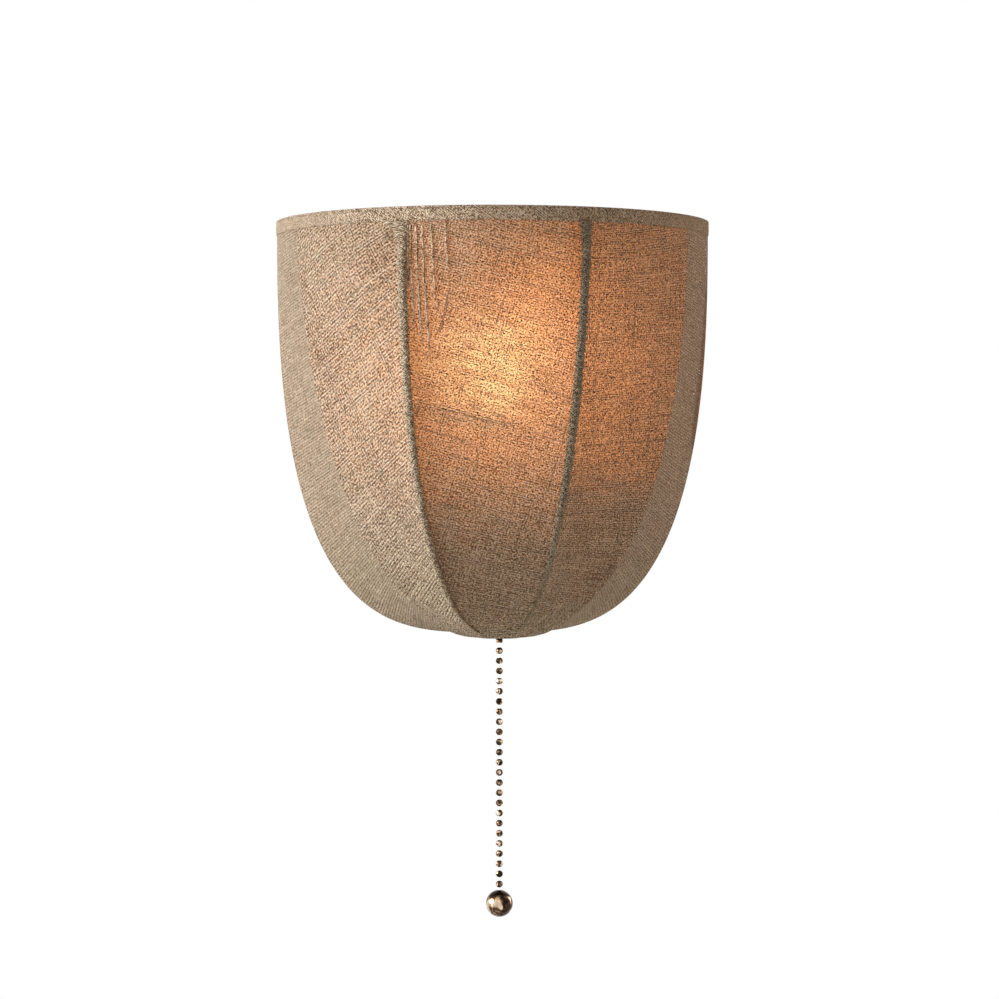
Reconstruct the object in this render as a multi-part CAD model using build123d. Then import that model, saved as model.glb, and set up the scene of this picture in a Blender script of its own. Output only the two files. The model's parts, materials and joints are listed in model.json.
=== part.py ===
from build123d import *
from math import asin, cos, degrees, hypot, pi, radians, sin, sqrt
import os

# Fabric half-shade wall light with a pull-chain switch. All sizes are in millimetres.
# The origin lies on the wall, at the centre of the mounting plate. +X is to the right as
# one faces the light, +Z is up, and the light stands out from the wall towards -Y.

# ---------------------------------------------------------------- driving dimensions
# Shade: outer surface of the fabric
shade_half_width = 100.0
shade_depth = 110.0
shade_height = 190.0
bottom_below_mount = 55.0
fabric_thickness = 0.9
hub_from_wall = 50.0
chain_offset = 3.2
hoop_fall_power = 2.65
hoop_reach_power = 3.3
rib_reach_power = 2.4
far_left_rib_x = -88.0
near_left_rib_x = -39.0
near_right_rib_x = 41.5
far_right_rib_x = 88.0
far_left_fall_power = 1.8
near_left_fall_power = 2.45
near_right_fall_power = 1.6
far_right_fall_power = 2.2
rim_round_share = 0.35
panel_end_reach = 5.0
panel_seam_gap = 0.15

# Shade frame
frame_wire = 3.0
rib_wire = 2.4
rib_corner_room = 1.5
weld_gap = 0.1
cloth_gap = 0.15
hoop_from_wall = 5.0
hanger_above_mount = 50.0
hub_ring_height = 3.2
hub_ring_chamfer = 0.2
eyelet_bore_radius = 2.8
eyelet_wall = 0.7
eyelet_flange = 2.5
eyelet_flange_thickness = 0.8
binding_thickness = 0.8
hem_height = 6.5
hem_thickness = 0.7
piping_width = 3.3
piping_height = 1.7
piping_gap = 0.35
piping_length_share = 0.97

# Wall plate and its cover
plate_width = 108.0
plate_height = 40.0
plate_thickness = 2.0
plate_corner = 4.0
wall_slot_spacing = 60.0
wall_slot_width = 5.0
wall_slot_length = 10.0
cable_hole_radius = 7.0
cable_hole_drop = 10.0
cover_width = 120.0
cover_height = 72.0
cover_depth = 20.0
cover_corner = 22.0
cover_edge_fillet = 3.0
cover_wall = 1.2
cover_wall_gap = 0.3
cover_screw_spacing = 92.0
cover_screw_radius = 2.0
cover_screw_head_radius = 3.8
cover_screw_head_height = 2.4
screw_clearance = 0.25
screw_slot_half = 0.4
screw_slot_share = 0.7
thread_clearance = 0.05
earth_screw_x = 21.0
earth_screw_drop = 12.0

# Hooks that carry the shade
hook_spacing = 60.0
hook_thickness = 2.0
hook_depth = 13.0
hook_nose = 6.0
hook_foot_width = 10.0
hook_back_gap = 0.8
hook_play = 0.3

# Terminal block
terminal_width = 27.0
terminal_height = 17.0
terminal_depth = 13.0
terminal_rise = 9.5
terminal_pole_spacing = 8.5
terminal_insert_radius = 2.6
terminal_bore_radius = 1.5
terminal_screw_radius = 1.5
terminal_screw_sunk = 1.0
terminal_slot_half = 0.25
terminal_slot_depth = 0.6
terminal_fillet = 1.0
terminal_insert_inset = 1.0
earth_head_share = 1.2

# Arm
arm_drop = 19.6
arm_radius = 6.0
arm_bore_radius = 3.6
thread_radius = 5.0
thread_length = 4.6
nut_radius = 8.0
nut_height = 2.8
saddle_depth = 0.6

# Switch housing under the lampholder
housing_radius = 17.0
housing_wall = 1.2
housing_height = 29.0
housing_lip_height = 5.0
housing_lip_wall = 2.6
housing_screw_radius = 1.25
housing_screw_head_radius = 2.2
housing_screw_head_height = 1.4
housing_slot_depth = 0.6
housing_slot_half = 0.3
housing_fillet = 3.0
housing_edge_fillet = 0.5

# Pull switch
lever_radius = 7.0
lever_swing = 26.0
lever_half_thickness = 0.4
lever_bead_gap = 0.5
lever_hub_radius = 2.4
lever_width = 6.0
lever_slot_width = 2.2
lever_reach_past_stem = 2.5
lever_pin_radius = 1.0
lever_nose_reach = 4.0
lever_nose_width = 3.0
lever_nose_half_thickness = 0.6
lever_room = 1.8
running_clearance = 0.05
switch_width = 19.0
switch_depth = 12.0
switch_wall = 1.2
switch_lid_thickness = 1.2
switch_corner = 1.5
stem_radius = 0.8
stem_collar_radius = 3.0
stem_collar_thickness = 0.8
stem_collar_drop = 4.6
stem_clearance = 0.3
tag_width = 3.6
tag_height = 8.0
tag_thickness = 1.2
tag_spacing = 6.8
spring_coil_radius = 2.1
spring_wire = 0.5
spring_turns = 5
spring_solid_height = 3.1
bush_bore_radius = 2.6
bell_wall = 1.0
bell_height = 2.4
bell_mouth_play = 0.6
bush_past_nut = 1.2

# Lampholder
holder_top = 42.0
holder_radius = 14.0
holder_skirt_height = 30.0
holder_rim_fillet = 0.6
holder_groove_count = 5
holder_groove_rise = 6.0
holder_groove_pitch = 3.6
holder_groove_width = 1.4
holder_groove_depth = 0.5
holder_cap_radius = 13.4
holder_cap_height = 16.0
holder_cap_fillet = 3.5
holder_floor = 2.0
holder_wall = 1.6
holder_insert_height = 6.0
holder_insert_sink = 1.0
insert_wire_hole_radius = 1.4
insert_wire_hole_x = 5.0
thread_shell_wall = 0.4
thread_shell_play = 0.2
thread_shell_sunk = 3.0
thread_shell_flange = 1.0
contact_height = 1.2
tongue_half_width = 1.8
tongue_thickness = 0.5
tongue_back = 4.5
tongue_front = 3.0
tongue_raised = 1.5
nipple_bore_radius = 3.7

# Bulb: small round lamp
bulb_radius = 22.5
bulb_centre_above_holder = 28.0
bulb_neck_radius = 6.4
bulb_neck_fillet = 12.0
bulb_glass_wall = 0.9
bulb_cap_radius = 6.9
bulb_cap_length = 22.0
bulb_cap_below_rim = 2.0
bulb_cap_floor = 1.0
bulb_cap_crimp = 1.0
bulb_thread_start = 3.5
bulb_thread_pitch = 2.82
bulb_thread_turns = 5
bulb_thread_offset = 0.55
bulb_thread_round = 0.9
bulb_tip_radius = 2.4
bulb_tip_height = 3.0
bulb_contact_radius = 2.0
bulb_contact_height = 0.8
glass_stem_play = 0.15
glass_stem_flare = 12.0
glass_stem_waist = 1.6
glass_stem_radius = 0.8
glass_stem_past_filament = 1.5
star_offset = 0.7
star_width = 1.0
star_thickness = 0.6
filament_ring_radius = 7.0
filament_radius = 0.7
filament_length = 26.0
filament_count = 4
filament_end_gap = 0.5

# Ball chain
bead_radius = 1.6
bead_wall = 0.3
bead_pitch = 4.58
link_radius = 0.4
link_head_radius = 0.62
link_hole_radius = 0.55
link_play = 0.02
swing_hole_radius = 1.15
first_bead_below_rim = 192.1
hanging_beads = 25
coupling_radius = 2.2
coupling_height = 5.2
coupling_grip = 1.4
coupling_chamfer = 0.5
coupling_floor = 0.8
coupling_web = 0.2
pull_ball_radius = 6.1
pull_ball_gap = 1.0
pull_ball_wall = 0.9
pull_ball_pocket = 1.7
pull_ball_pocket_play = 0.15

# Internal wires
wire_radius = 0.9
wire_gap = 0.1
wire_bend = 2.0
wire_in_terminal = 3.0
wire_on_tag = 2.0
live_wire_x = -2.6
live_turn_drop = 6.0
live_dip = 5.0
neutral_wire_x = 0.7
neutral_turn_drop = 5.0
neutral_dip = 4.0
neutral_lift = 2.2
neutral_tag_gap = 0.6
nipple_wire_x = 1.5
earth_wire_run = 4.0

# ---------------------------------------------------------------- derived places
rim_z = shade_height - bottom_below_mount
shade_bottom_z = rim_z - shade_height
frame_radius = frame_wire / 2
panel_drop = hem_thickness + weld_gap
rib_radius = rib_wire / 2
frame_inset = fabric_thickness + cloth_gap + frame_radius
rib_inset = fabric_thickness + (cloth_gap + rib_radius) * rib_corner_room
hub_x = chain_offset
hub_y = -hub_from_wall
hoop_y = -hoop_from_wall
ring_z = rim_z - hem_thickness - cloth_gap - frame_radius
ring_half_width = shade_half_width - frame_inset
ring_depth = shade_depth - frame_inset
holder_y = hub_y
holder_bottom = holder_top - holder_skirt_height - holder_cap_height
housing_top = holder_bottom - housing_wall
housing_bottom = housing_top - housing_height
cover_front = -cover_wall_gap - cover_depth

RIBS = {
    "far_left": (far_left_rib_x, far_left_fall_power),
    "near_left": (near_left_rib_x, near_left_fall_power),
    "near_right": (near_right_rib_x, near_right_fall_power),
    "far_right": (far_right_rib_x, far_right_fall_power),
}


# ---------------------------------------------------------------- shade surface
def rim_point(x):
    """Point of the outer rim, a half ellipse in plan, at this x."""
    return Vector(x, -shade_depth * sqrt(max(0.0, 1 - (x / shade_half_width) ** 2)), 0)


def rim_reach(start, along):
    """Distance from a point inside the rim to the rim, in this direction."""
    low, high = 0.0, 2 * shade_depth
    for _ in range(40):
        mid = (low + high) / 2
        point = start + along * mid
        inside = (point.X / shade_half_width) ** 2 + (point.Y / shade_depth) ** 2 < 1
        low, high = (mid, high) if inside else (low, mid)
    return low


def rib_point(foot, fall_power, angle, inset):
    """Point of a rib's curve, which falls from the rim to the hub: angle runs from 0 at
    the rim to 90 degrees at the hub, and inset is the distance inside the fabric."""
    run = Vector(foot.X - hub_x, foot.Y - hub_y, 0)
    share = (1 - inset / run.length) * cos(angle) ** (2 / rib_reach_power)
    drop = (shade_height - inset) * sin(angle) ** (2 / fall_power)
    return Vector(hub_x + run.X * share, hub_y + run.Y * share, rim_z - drop)


def hoop_point(side, angle, inset):
    """Point of the rear hoop's curve, in a plane along the wall, on one side."""
    x = (shade_half_width - inset) * max(0.0, cos(angle)) ** (2 / hoop_reach_power)
    drop = (shade_height - inset) * sin(angle) ** (2 / hoop_fall_power)
    return Vector(side * x, hoop_y, rim_z - drop)


def end_angle(foot):
    """Angle at which a rib's curve comes within the panels' end reach of the hub."""
    run = hypot(foot.X - hub_x, foot.Y - hub_y)
    share = panel_end_reach / run
    cosine = share ** (rib_reach_power / 2)
    return pi / 2 - cosine


def start_angle(fall_power, drop):
    """Angle at which a curve with this power has fallen this far below the rim."""
    return asin((drop / shade_height) ** (fall_power / 2))


def angles(first, last, steps):
    """Angles from first to last, closer together towards both ends."""
    return [first + (last - first) * (1 - cos(pi * i / steps)) / 2 for i in range(steps + 1)]


def strip_wire(outer, inner):
    """Closed outline of a strip of fabric seen on edge."""
    return Wire(
        [
            Spline(*outer),
            Line(outer[-1], inner[-1]),
            Spline(*inner[::-1]),
            Line(inner[0], outer[0]),
        ]
    )


def rim_share(z):
    """How much of the rim's roundness the fabric keeps at this height: all of it behind
    the hem, and none where the fabric lies flat between the ribs."""
    turn = (rim_z - z - hem_height) / (rim_round_share * shade_height)
    turn = min(1.0, max(0.0, turn))
    return (1 - turn) ** 2 * (1 + 2 * turn)


def front_panel(left, right, steps=9, strips=4):
    """Fabric between two ribs: straight across low down, and bowed out to the rim above."""
    feet = [rim_point(RIBS[name][0]) for name in (left, right)]
    powers = [RIBS[name][1] for name in (left, right)]
    wires = []
    for i in range(strips + 1):
        s = i / strips
        chord = feet[0] * (1 - s) + feet[1] * s
        last = end_angle(chord)
        run = Vector(chord.X - hub_x, chord.Y - hub_y, 0)
        rim_run = rim_reach(Vector(hub_x, hub_y, 0), run.normalized())
        edges = []
        for inset in (0.0, fabric_thickness):
            points = []
            runs = [angles(start_angle(power, panel_drop), last, steps) for power in powers]
            for pair_angles in zip(*runs):
                pair = [rib_point(chord, *turn, inset) for turn in zip(powers, pair_angles)]
                point = pair[0] * (1 - s) + pair[1] * s
                bow = 1 + (rim_run / run.length - 1) * rim_share(point.Z)
                share_x = (point.X - hub_x) * bow
                share_y = (point.Y - hub_y) * bow
                points.append(Vector(hub_x + share_x, hub_y + share_y, point.Z))
            edges.append(points)
        wires.append(strip_wire(*edges))
    return Solid.make_loft(wires)


def side_panel(side, rib, steps=9, strips=4):
    """Fabric from the rear hoop to a far rib, closed under the shade to the hub."""
    foot = rim_point(RIBS[rib][0])
    power = RIBS[rib][1]
    rear_y = hoop_y - frame_radius - binding_thickness - 2 * cloth_gap
    rear_angles = angles(start_angle(hoop_fall_power, panel_drop), pi / 2, steps)
    rib_angles = angles(start_angle(power, panel_drop), end_angle(foot), steps)
    rear_share = sqrt(1 - (rear_y / shade_depth) ** 2)
    rear_top = Vector(side * shade_half_width * rear_share, rear_y, 0)
    chord = (foot - rear_top).normalized()
    outward = Vector(-side * chord.Y, side * chord.X, 0)
    wires = []
    for i in range(strips + 1):
        s = i / strips
        bow = rim_reach(rear_top * (1 - s) + foot * s, outward)
        edges = []
        for inset in (0.0, fabric_thickness):
            points = []
            for rear_angle, rib_angle in zip(rear_angles, rib_angles):
                rear = hoop_point(side, rear_angle, inset)
                seam = panel_seam_gap * (1 - abs(rear.X) / shade_half_width)
                rear = Vector(rear.X * rear_share + side * seam, rear_y, rear.Z)
                point = rear * (1 - s) + rib_point(foot, power, rib_angle, inset) * s
                points.append(point + outward * bow * rim_share(point.Z))
            edges.append(points)
        wires.append(strip_wire(*edges))
    return Solid.make_loft(wires)


# ---------------------------------------------------------------- plain shapes
def rod(radius, z0, z1, x=0.0, y=0.0):
    """Upright cylinder between two heights."""
    return Pos(x, y, (z0 + z1) / 2) * Cylinder(radius, z1 - z0)


def rod_y(radius, y0, y1, x=0.0, z=0.0):
    """Cylinder along Y between two depths."""
    return Pos(x, (y0 + y1) / 2, z) * Rot(90, 0, 0) * Cylinder(radius, abs(y1 - y0))


def rod_x(radius, x0, x1, y=0.0, z=0.0):
    """Cylinder along X between two places."""
    return Pos((x0 + x1) / 2, y, z) * Rot(0, 90, 0) * Cylinder(radius, abs(x1 - x0))


def block(x0, x1, y0, y1, z0, z1):
    """Box between two corners."""
    centre = Pos((x0 + x1) / 2, (y0 + y1) / 2, (z0 + z1) / 2)
    return centre * Box(abs(x1 - x0), abs(y1 - y0), abs(z1 - z0))


def arc_chain(points):
    """Smooth chain of tangent arcs through the points."""
    first, second = points[1] - points[0], points[2] - points[1]
    lead_in = first.length / (first.length + second.length)
    turn = first.normalized() - second.normalized()
    tangent = first.normalized() + turn * lead_in
    edges = []
    for start, end in zip(points[:-1], points[1:]):
        edge = TangentArc(start, end, tangent=tangent)
        tangent = edge % 1
        edges.append(edge)
    return Wire(edges)


def wire_along(path, radius, bore=0.0):
    """Round wire, or sleeve with a bore, along a path."""
    section = Plane(path @ 0, z_dir=path % 0)
    ring = Circle(radius) if bore == 0 else Circle(radius) - Circle(bore)
    return sweep(section * ring, path=path)


def lead(points, radii):
    """Insulated wire along straight runs with rounded corners."""
    return wire_along(Wire(FilletPolyline(*points, radius=radii).edges()), wire_radius)


def hex_nut(z0, bore, x, y):
    """Six-sided nut with a plain bore, standing on z0."""
    body = extrude(Pos(x, y, z0) * RegularPolygon(nut_radius, 6), amount=nut_height)
    return body - rod(bore, z0 - 1, z0 + nut_height + 1, x, y)


def hex_nut_y(y0, y1, bore, x, z):
    """Six-sided nut on a threaded tube that runs along Y, between two depths."""
    plane = Plane(origin=(x, y0, z), x_dir=(1, 0, 0), z_dir=(0, -1, 0))
    body = extrude(plane * RegularPolygon(nut_radius, 6), amount=y0 - y1)
    return body - rod_y(bore, y0 + 1, y1 - 1, x, z)


def wall_sheet(y0, y1, shape):
    """Flat plate parallel to the wall, between two depths."""
    plane = Plane(origin=(0, y0, 0), x_dir=(1, 0, 0), z_dir=(0, -1, 0))
    return extrude(plane * shape, amount=y0 - y1)


# ---------------------------------------------------------------- shade frame
def ring_path(from_wall=hoop_from_wall):
    """Path of the top ring: a half ellipse that ends this far from the wall."""
    ring_end = degrees(asin(from_wall / ring_depth))
    arc = EllipticalCenterArc(
        (0, 0),
        ring_half_width,
        ring_depth,
        start_angle=180 + ring_end,
        arc_size=180 - 2 * ring_end,
    )
    return Wire([Plane(origin=(0, 0, ring_z)) * arc])


def make_top_ring():
    """Bent wire that holds the rim's shape."""
    return wire_along(ring_path(), frame_radius)


def make_top_bar():
    """Straight wire across the back of the rim."""
    y = hoop_y - frame_radius
    narrowing = sqrt(1 - ((y - frame_radius) / ring_depth) ** 2)
    end = ring_half_width * narrowing - frame_radius - weld_gap
    return rod_x(frame_radius, -end, end, y, ring_z)


def hoop_path(top, steps=16):
    """Path of the rear hoop's wire, from its left end round the bottom to its right end."""
    left = [hoop_point(-1, a, frame_inset) for a in angles(0.0, pi / 2, steps)]
    left = [Vector(left[0].X, left[0].Y, top)] + [p for p in left[1:] if p.Z < top - frame_wire]
    right = [Vector(-p.X, p.Y, p.Z) for p in left[-2::-1]]
    return arc_chain(left + right)


def hoop_half_width(z, inset):
    """Distance of the hoop's curve from the middle at this height."""
    drop = (rim_z - z) / (shade_height - inset)
    share = (1 - drop**hoop_fall_power) ** (1 / hoop_reach_power)
    return (shade_half_width - inset) * share


def make_rear_hoop():
    """Wire along the wall that carries the back edges of the fabric."""
    return wire_along(hoop_path(ring_z - frame_radius - weld_gap), frame_radius)


def make_rear_binding():
    """Fabric binding sewn round the rear hoop's wire."""
    inner = frame_radius + weld_gap / 2
    path = hoop_path(rim_z - hem_height - cloth_gap)
    return wire_along(path, inner + binding_thickness, inner)


def make_hanger_bar():
    """Straight wire across the hoop, which hangs in the two hooks."""
    inner = frame_inset + frame_radius + binding_thickness + weld_gap
    end = hoop_half_width(hanger_above_mount, inner + weld_gap)
    return rod_x(frame_radius, -end, end, hoop_y, hanger_above_mount)


def rib_path(name, inset, steps=9):
    """Path along a rib from under the top ring to the hub."""
    x, power = RIBS[name]
    foot = rim_point(x)
    top = ring_z - frame_radius - weld_gap
    points = [rib_point(foot, power, a, inset) for a in angles(0.0, end_angle(foot), steps)]
    start = Vector(points[0].X, points[0].Y, top)
    points = [start] + [p for p in points[1:] if p.Z < top - frame_wire]
    return arc_chain(points)


def make_rib(name):
    """Bent wire rib."""
    return wire_along(rib_path(name, rib_inset), rib_radius)


hub_ring_radius = panel_end_reach - 4 * weld_gap
hub_low = shade_bottom_z + fabric_thickness + cloth_gap
hub_top = hub_low + hub_ring_height


def make_hub_ring():
    """Turned ring to which the ends of the ribs are welded."""
    bore = eyelet_bore_radius + eyelet_wall
    ring = rod(hub_ring_radius, hub_low, hub_top, hub_x, hub_y)
    ring -= rod(bore, hub_low - 1, hub_top + 1, hub_x, hub_y)
    return chamfer(ring.edges().group_by(Axis.Z)[-1], hub_ring_chamfer)


def make_eyelet():
    """Rolled eyelet that guides the chain through the hub, flared at both ends."""
    outer = eyelet_bore_radius + eyelet_wall
    flange = outer + eyelet_flange
    neck = outer - weld_gap / 2
    low = shade_bottom_z - cloth_gap - eyelet_flange_thickness
    high = hub_top + weld_gap + eyelet_flange_thickness
    profile = Polyline(
        (eyelet_bore_radius, high),
        (hub_ring_radius, high),
        (hub_ring_radius, hub_top + weld_gap),
        (neck, hub_top + weld_gap),
        (neck, low + eyelet_flange_thickness),
        (flange, low + eyelet_flange_thickness),
        (flange, low),
        (outer, low),
        (eyelet_bore_radius, low + eyelet_wall),
        close=True,
    )
    ring = revolve(make_face(Plane.XZ * profile), axis=Axis.Z)
    return Pos(hub_x, hub_y, 0) * ring


def make_bottom_stay():
    """Straight wire from the hub back to the bottom of the hoop."""
    z = shade_bottom_z + frame_inset
    start = hub_y + hub_ring_radius + weld_gap
    end = hoop_y - frame_radius - binding_thickness - 2 * weld_gap
    return rod_y(rib_radius, end, start, 0.0, z)


# ---------------------------------------------------------------- fabric
def make_top_hem():
    """Fabric folded over the top ring, with an outer and an inner leg."""
    inner = frame_radius + cloth_gap
    outer = inner + fabric_thickness + cloth_gap
    top = rim_z - hem_thickness
    low = rim_z - hem_height
    outline = [
        (-inner, low),
        (-inner, top),
        (outer, top),
        (outer, low),
        (outer + hem_thickness, low),
        (outer + hem_thickness, top),
        (outer, rim_z),
        (-inner, rim_z),
        (-inner - hem_thickness, top),
        (-inner - hem_thickness, low),
    ]
    path = ring_path(hoop_from_wall + frame_wire + cloth_gap)
    start = path @ 0
    along = path % 0
    across = Vector(along.Y, -along.X, 0)
    section = Plane(origin=(start.X, start.Y, 0), x_dir=across, z_dir=along)
    side = section.y_dir.Z
    profile = Polyline(*[(out, side * z) for out, z in outline], close=True)
    return sweep(make_face(section * profile), path=path)


def make_piping(name):
    """Half-round piping sewn along a near rib, on the outside of the fabric."""
    x, power = RIBS[name]
    foot = rim_point(x)
    top = rim_z - hem_height - cloth_gap
    last = end_angle(foot) * piping_length_share
    points = [rib_point(foot, power, a, -piping_gap) for a in angles(0.0, last, 9)]
    start = Vector(points[0].X, points[0].Y, top)
    points = [start] + [p for p in points[1:] if p.Z < top - hem_height]
    path = arc_chain(points)
    outward = Vector(foot.X - hub_x, foot.Y - hub_y, 0).normalized()
    along = Plane(origin=path @ 0, x_dir=outward, z_dir=path % 0)
    half = piping_width / 2
    profile = make_face(
        [
            Line((0, -half), (0, half)),
            ThreePointArc((0, half), (piping_height, 0), (0, -half)),
        ]
    )
    return sweep(along * profile, path=path)


# ---------------------------------------------------------------- wall plate and cover
def make_mounting_plate():
    """Flat steel plate screwed to the wall: slots, threaded holes and a cable hole."""
    plate = wall_sheet(0, -plate_thickness, RectangleRounded(plate_width, plate_height, plate_corner))
    slot = SlotOverall(wall_slot_length, wall_slot_width)
    for side in (-1, 1):
        x = side * wall_slot_spacing / 2
        plate -= wall_sheet(1, -plate_thickness - 1, Pos(x, 0) * slot)
        bore = cover_screw_radius + thread_clearance
        plate -= rod_y(bore, 1, -plate_thickness - 1, side * cover_screw_spacing / 2, 0)
    plate -= rod_y(cable_hole_radius, 1, -plate_thickness - 1, 0, -cable_hole_drop)
    earth_bore = terminal_screw_radius + thread_clearance
    return plate - rod_y(earth_bore, 1, -plate_thickness - 1, earth_screw_x, -earth_screw_drop)


def make_cover():
    """Pressed steel cover over the wall plate, open towards the wall."""
    outer = wall_sheet(
        -cover_wall_gap, cover_front, RectangleRounded(cover_width, cover_height, cover_corner)
    )
    front = outer.edges().group_by(Axis.Y)[0]
    outer = fillet(front, cover_edge_fillet)
    inner = wall_sheet(
        1,
        cover_front + cover_wall,
        RectangleRounded(
            cover_width - 2 * cover_wall, cover_height - 2 * cover_wall, cover_corner - cover_wall
        ),
    )
    inner_front = inner.edges().group_by(Axis.Y)[0]
    shell = outer - fillet(inner_front, cover_edge_fillet - cover_wall)
    for side in (-1, 1):
        bore = cover_screw_radius + screw_clearance
        shell -= rod_y(bore, 0, cover_front - 1, side * cover_screw_spacing / 2, 0)
    return shell - rod_y(thread_radius + thread_clearance, 0, cover_front - 1, 0, -arm_drop)


def slotted_screw(radius, head_radius, head_height, y_head, y_end, x, z):
    """Domed screw that runs along Y, with a cross slot in its head."""
    centre = Pos(x, y_head, z)
    dome = (head_radius**2 + head_height**2) / (2 * head_height)
    half_turn = asin(head_radius / dome) / 2
    shoulder = (dome * sin(half_turn), dome * (1 - cos(half_turn)) - head_height)
    outline = [
        Line((0, 0), (0, -head_height)),
        ThreePointArc((0, -head_height), shoulder, (head_radius, 0)),
        Line((head_radius, 0), (0, 0)),
    ]
    head = revolve(make_face(outline), axis=Axis.Y)
    slot = head_radius * screw_slot_share
    half = screw_slot_half
    head -= block(-slot, slot, -head_height - 1, -head_height / 2, -half, half)
    head -= block(-half, half, -head_height - 1, -head_height / 2, -slot, slot)
    return centre * (head + rod_y(radius, 0, y_end - y_head, 0, 0))


def make_cover_screws():
    """Two screws that hold the cover to the wall plate."""
    y_end = -cover_wall_gap
    return [
        slotted_screw(
            cover_screw_radius,
            cover_screw_head_radius,
            cover_screw_head_height,
            cover_front - thread_clearance,
            y_end,
            side * cover_screw_spacing / 2,
            0,
        )
        for side in (-1, 1)
    ]


hook_top = hanger_above_mount + hook_nose


def make_shade_hooks():
    """Two bent plates on top of the cover, each with a notch for the hanger bar."""
    base = cover_height / 2 + thread_clearance
    front = -hook_back_gap - hook_depth
    hooks = []
    for side in (-1, 1):
        x = side * hook_spacing / 2
        plate = block(x, x + side * hook_thickness, front, -hook_back_gap, base, hook_top)
        outer_top = plate.edges().filter_by(Axis.X).group_by(Axis.Z)[-1]
        plate = fillet(outer_top, hook_thickness)
        foot_end = x + side * (hook_foot_width + hook_thickness)
        foot = block(x, foot_end, front, -hook_back_gap, base, base + hook_thickness)
        notch = frame_radius + hook_play
        cut_x = (x - side, x + side * (hook_thickness + 1))
        cut = block(*cut_x, hoop_y - notch, hoop_y + notch, hanger_above_mount, hook_top + 1)
        cut += rod_x(notch, *cut_x, hoop_y, hanger_above_mount)
        hooks.append(plate + foot - cut)
    return hooks


# ---------------------------------------------------------------- terminal block
TERMINAL_X = [(i - 1) * terminal_pole_spacing for i in range(3)]
terminal_back = -plate_thickness
terminal_front = terminal_back - terminal_depth
terminal_mid_y = (terminal_back + terminal_front) / 2


def make_terminal_block():
    """Three-pole plastic terminal block on the wall plate."""
    half = terminal_width / 2
    low = terminal_rise - terminal_height / 2
    body = block(-half, half, terminal_front, terminal_back, low, low + terminal_height)
    body = fillet(body.edges().group_by(Axis.Y)[0], terminal_fillet)
    for x in TERMINAL_X:
        body -= rod(terminal_insert_radius, low - 1, low + terminal_height + 1, x, terminal_mid_y)
        screw_hole = terminal_screw_radius + screw_clearance
        for lift in (-1, 1):
            z = terminal_rise + lift * terminal_height / 4
            body -= rod_y(screw_hole, terminal_mid_y, terminal_front - 1, x, z)
    return body


def make_terminal_inserts():
    """Three brass sleeves that take the ends of the wires."""
    low = terminal_rise - terminal_height / 2 + terminal_insert_inset
    high = low + terminal_height - 2 * terminal_insert_inset
    sleeves = []
    for x in TERMINAL_X:
        sleeve = rod(terminal_insert_radius - thread_clearance, low, high, x, terminal_mid_y)
        sleeves.append(sleeve - rod(terminal_bore_radius, low - 1, high + 1, x, terminal_mid_y))
    return sleeves


def make_terminal_screws():
    """Six clamping screws of the terminal block, and the earth screw on the plate."""
    screws = []
    y_end = terminal_mid_y - terminal_insert_radius - thread_clearance
    y_head = terminal_front + terminal_screw_sunk
    reach = terminal_screw_radius + thread_clearance
    half = terminal_slot_half
    for x in TERMINAL_X:
        for lift in (-1, 1):
            z = terminal_rise + lift * terminal_height / 4
            screw = rod_y(terminal_screw_radius, y_end, y_head, x, z)
            slot_end = y_head + terminal_slot_depth
            slot = block(x - reach, x + reach, terminal_front, slot_end, z - half, z + half)
            screws.append(screw - slot)
    screws.append(
        slotted_screw(
            terminal_screw_radius,
            terminal_screw_radius * 2,
            terminal_screw_radius * earth_head_share,
            -plate_thickness - thread_clearance,
            0.0,
            earth_screw_x,
            -earth_screw_drop,
        )
    )
    return screws


# ---------------------------------------------------------------- arm and switch housing
housing_back = holder_y + housing_radius
housing_bore = housing_radius - housing_wall
arm_nut_seat = holder_y + sqrt(housing_bore**2 - nut_radius**2) - weld_gap
arm_z = -arm_drop


def make_arm():
    """Short hollow arm with a threaded end through the cover and one into the housing."""
    rear = cover_front + cover_wall + thread_length
    front = arm_nut_seat - nut_height - weld_gap
    saddle = housing_back - saddle_depth
    tube = rod_y(arm_radius, cover_front - weld_gap, saddle, 0, arm_z)
    tube -= rod(housing_radius + weld_gap, arm_z - nut_radius, arm_z + nut_radius, 0, holder_y)
    threads = rod_y(thread_radius, rear, front, 0, arm_z)
    return tube + threads - rod_y(arm_bore_radius, rear + 1, front - 1, 0, arm_z)


def make_thread_nuts():
    """Four equal nuts: on the arm inside the cover and inside the housing, on the
    nipple under the housing's cover, and on the switch's bush under the housing."""
    rear = cover_front + cover_wall + thread_clearance
    bore = thread_radius + thread_clearance
    return [
        hex_nut_y(rear + nut_height, rear, bore, 0, arm_z),
        hex_nut_y(arm_nut_seat, arm_nut_seat - nut_height, bore, 0, arm_z),
        hex_nut(housing_top - nut_height - thread_clearance, bore, 0, holder_y),
        hex_nut(housing_bottom - nut_height - weld_gap / 2, bore, stem_x, hub_y),
    ]


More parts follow.
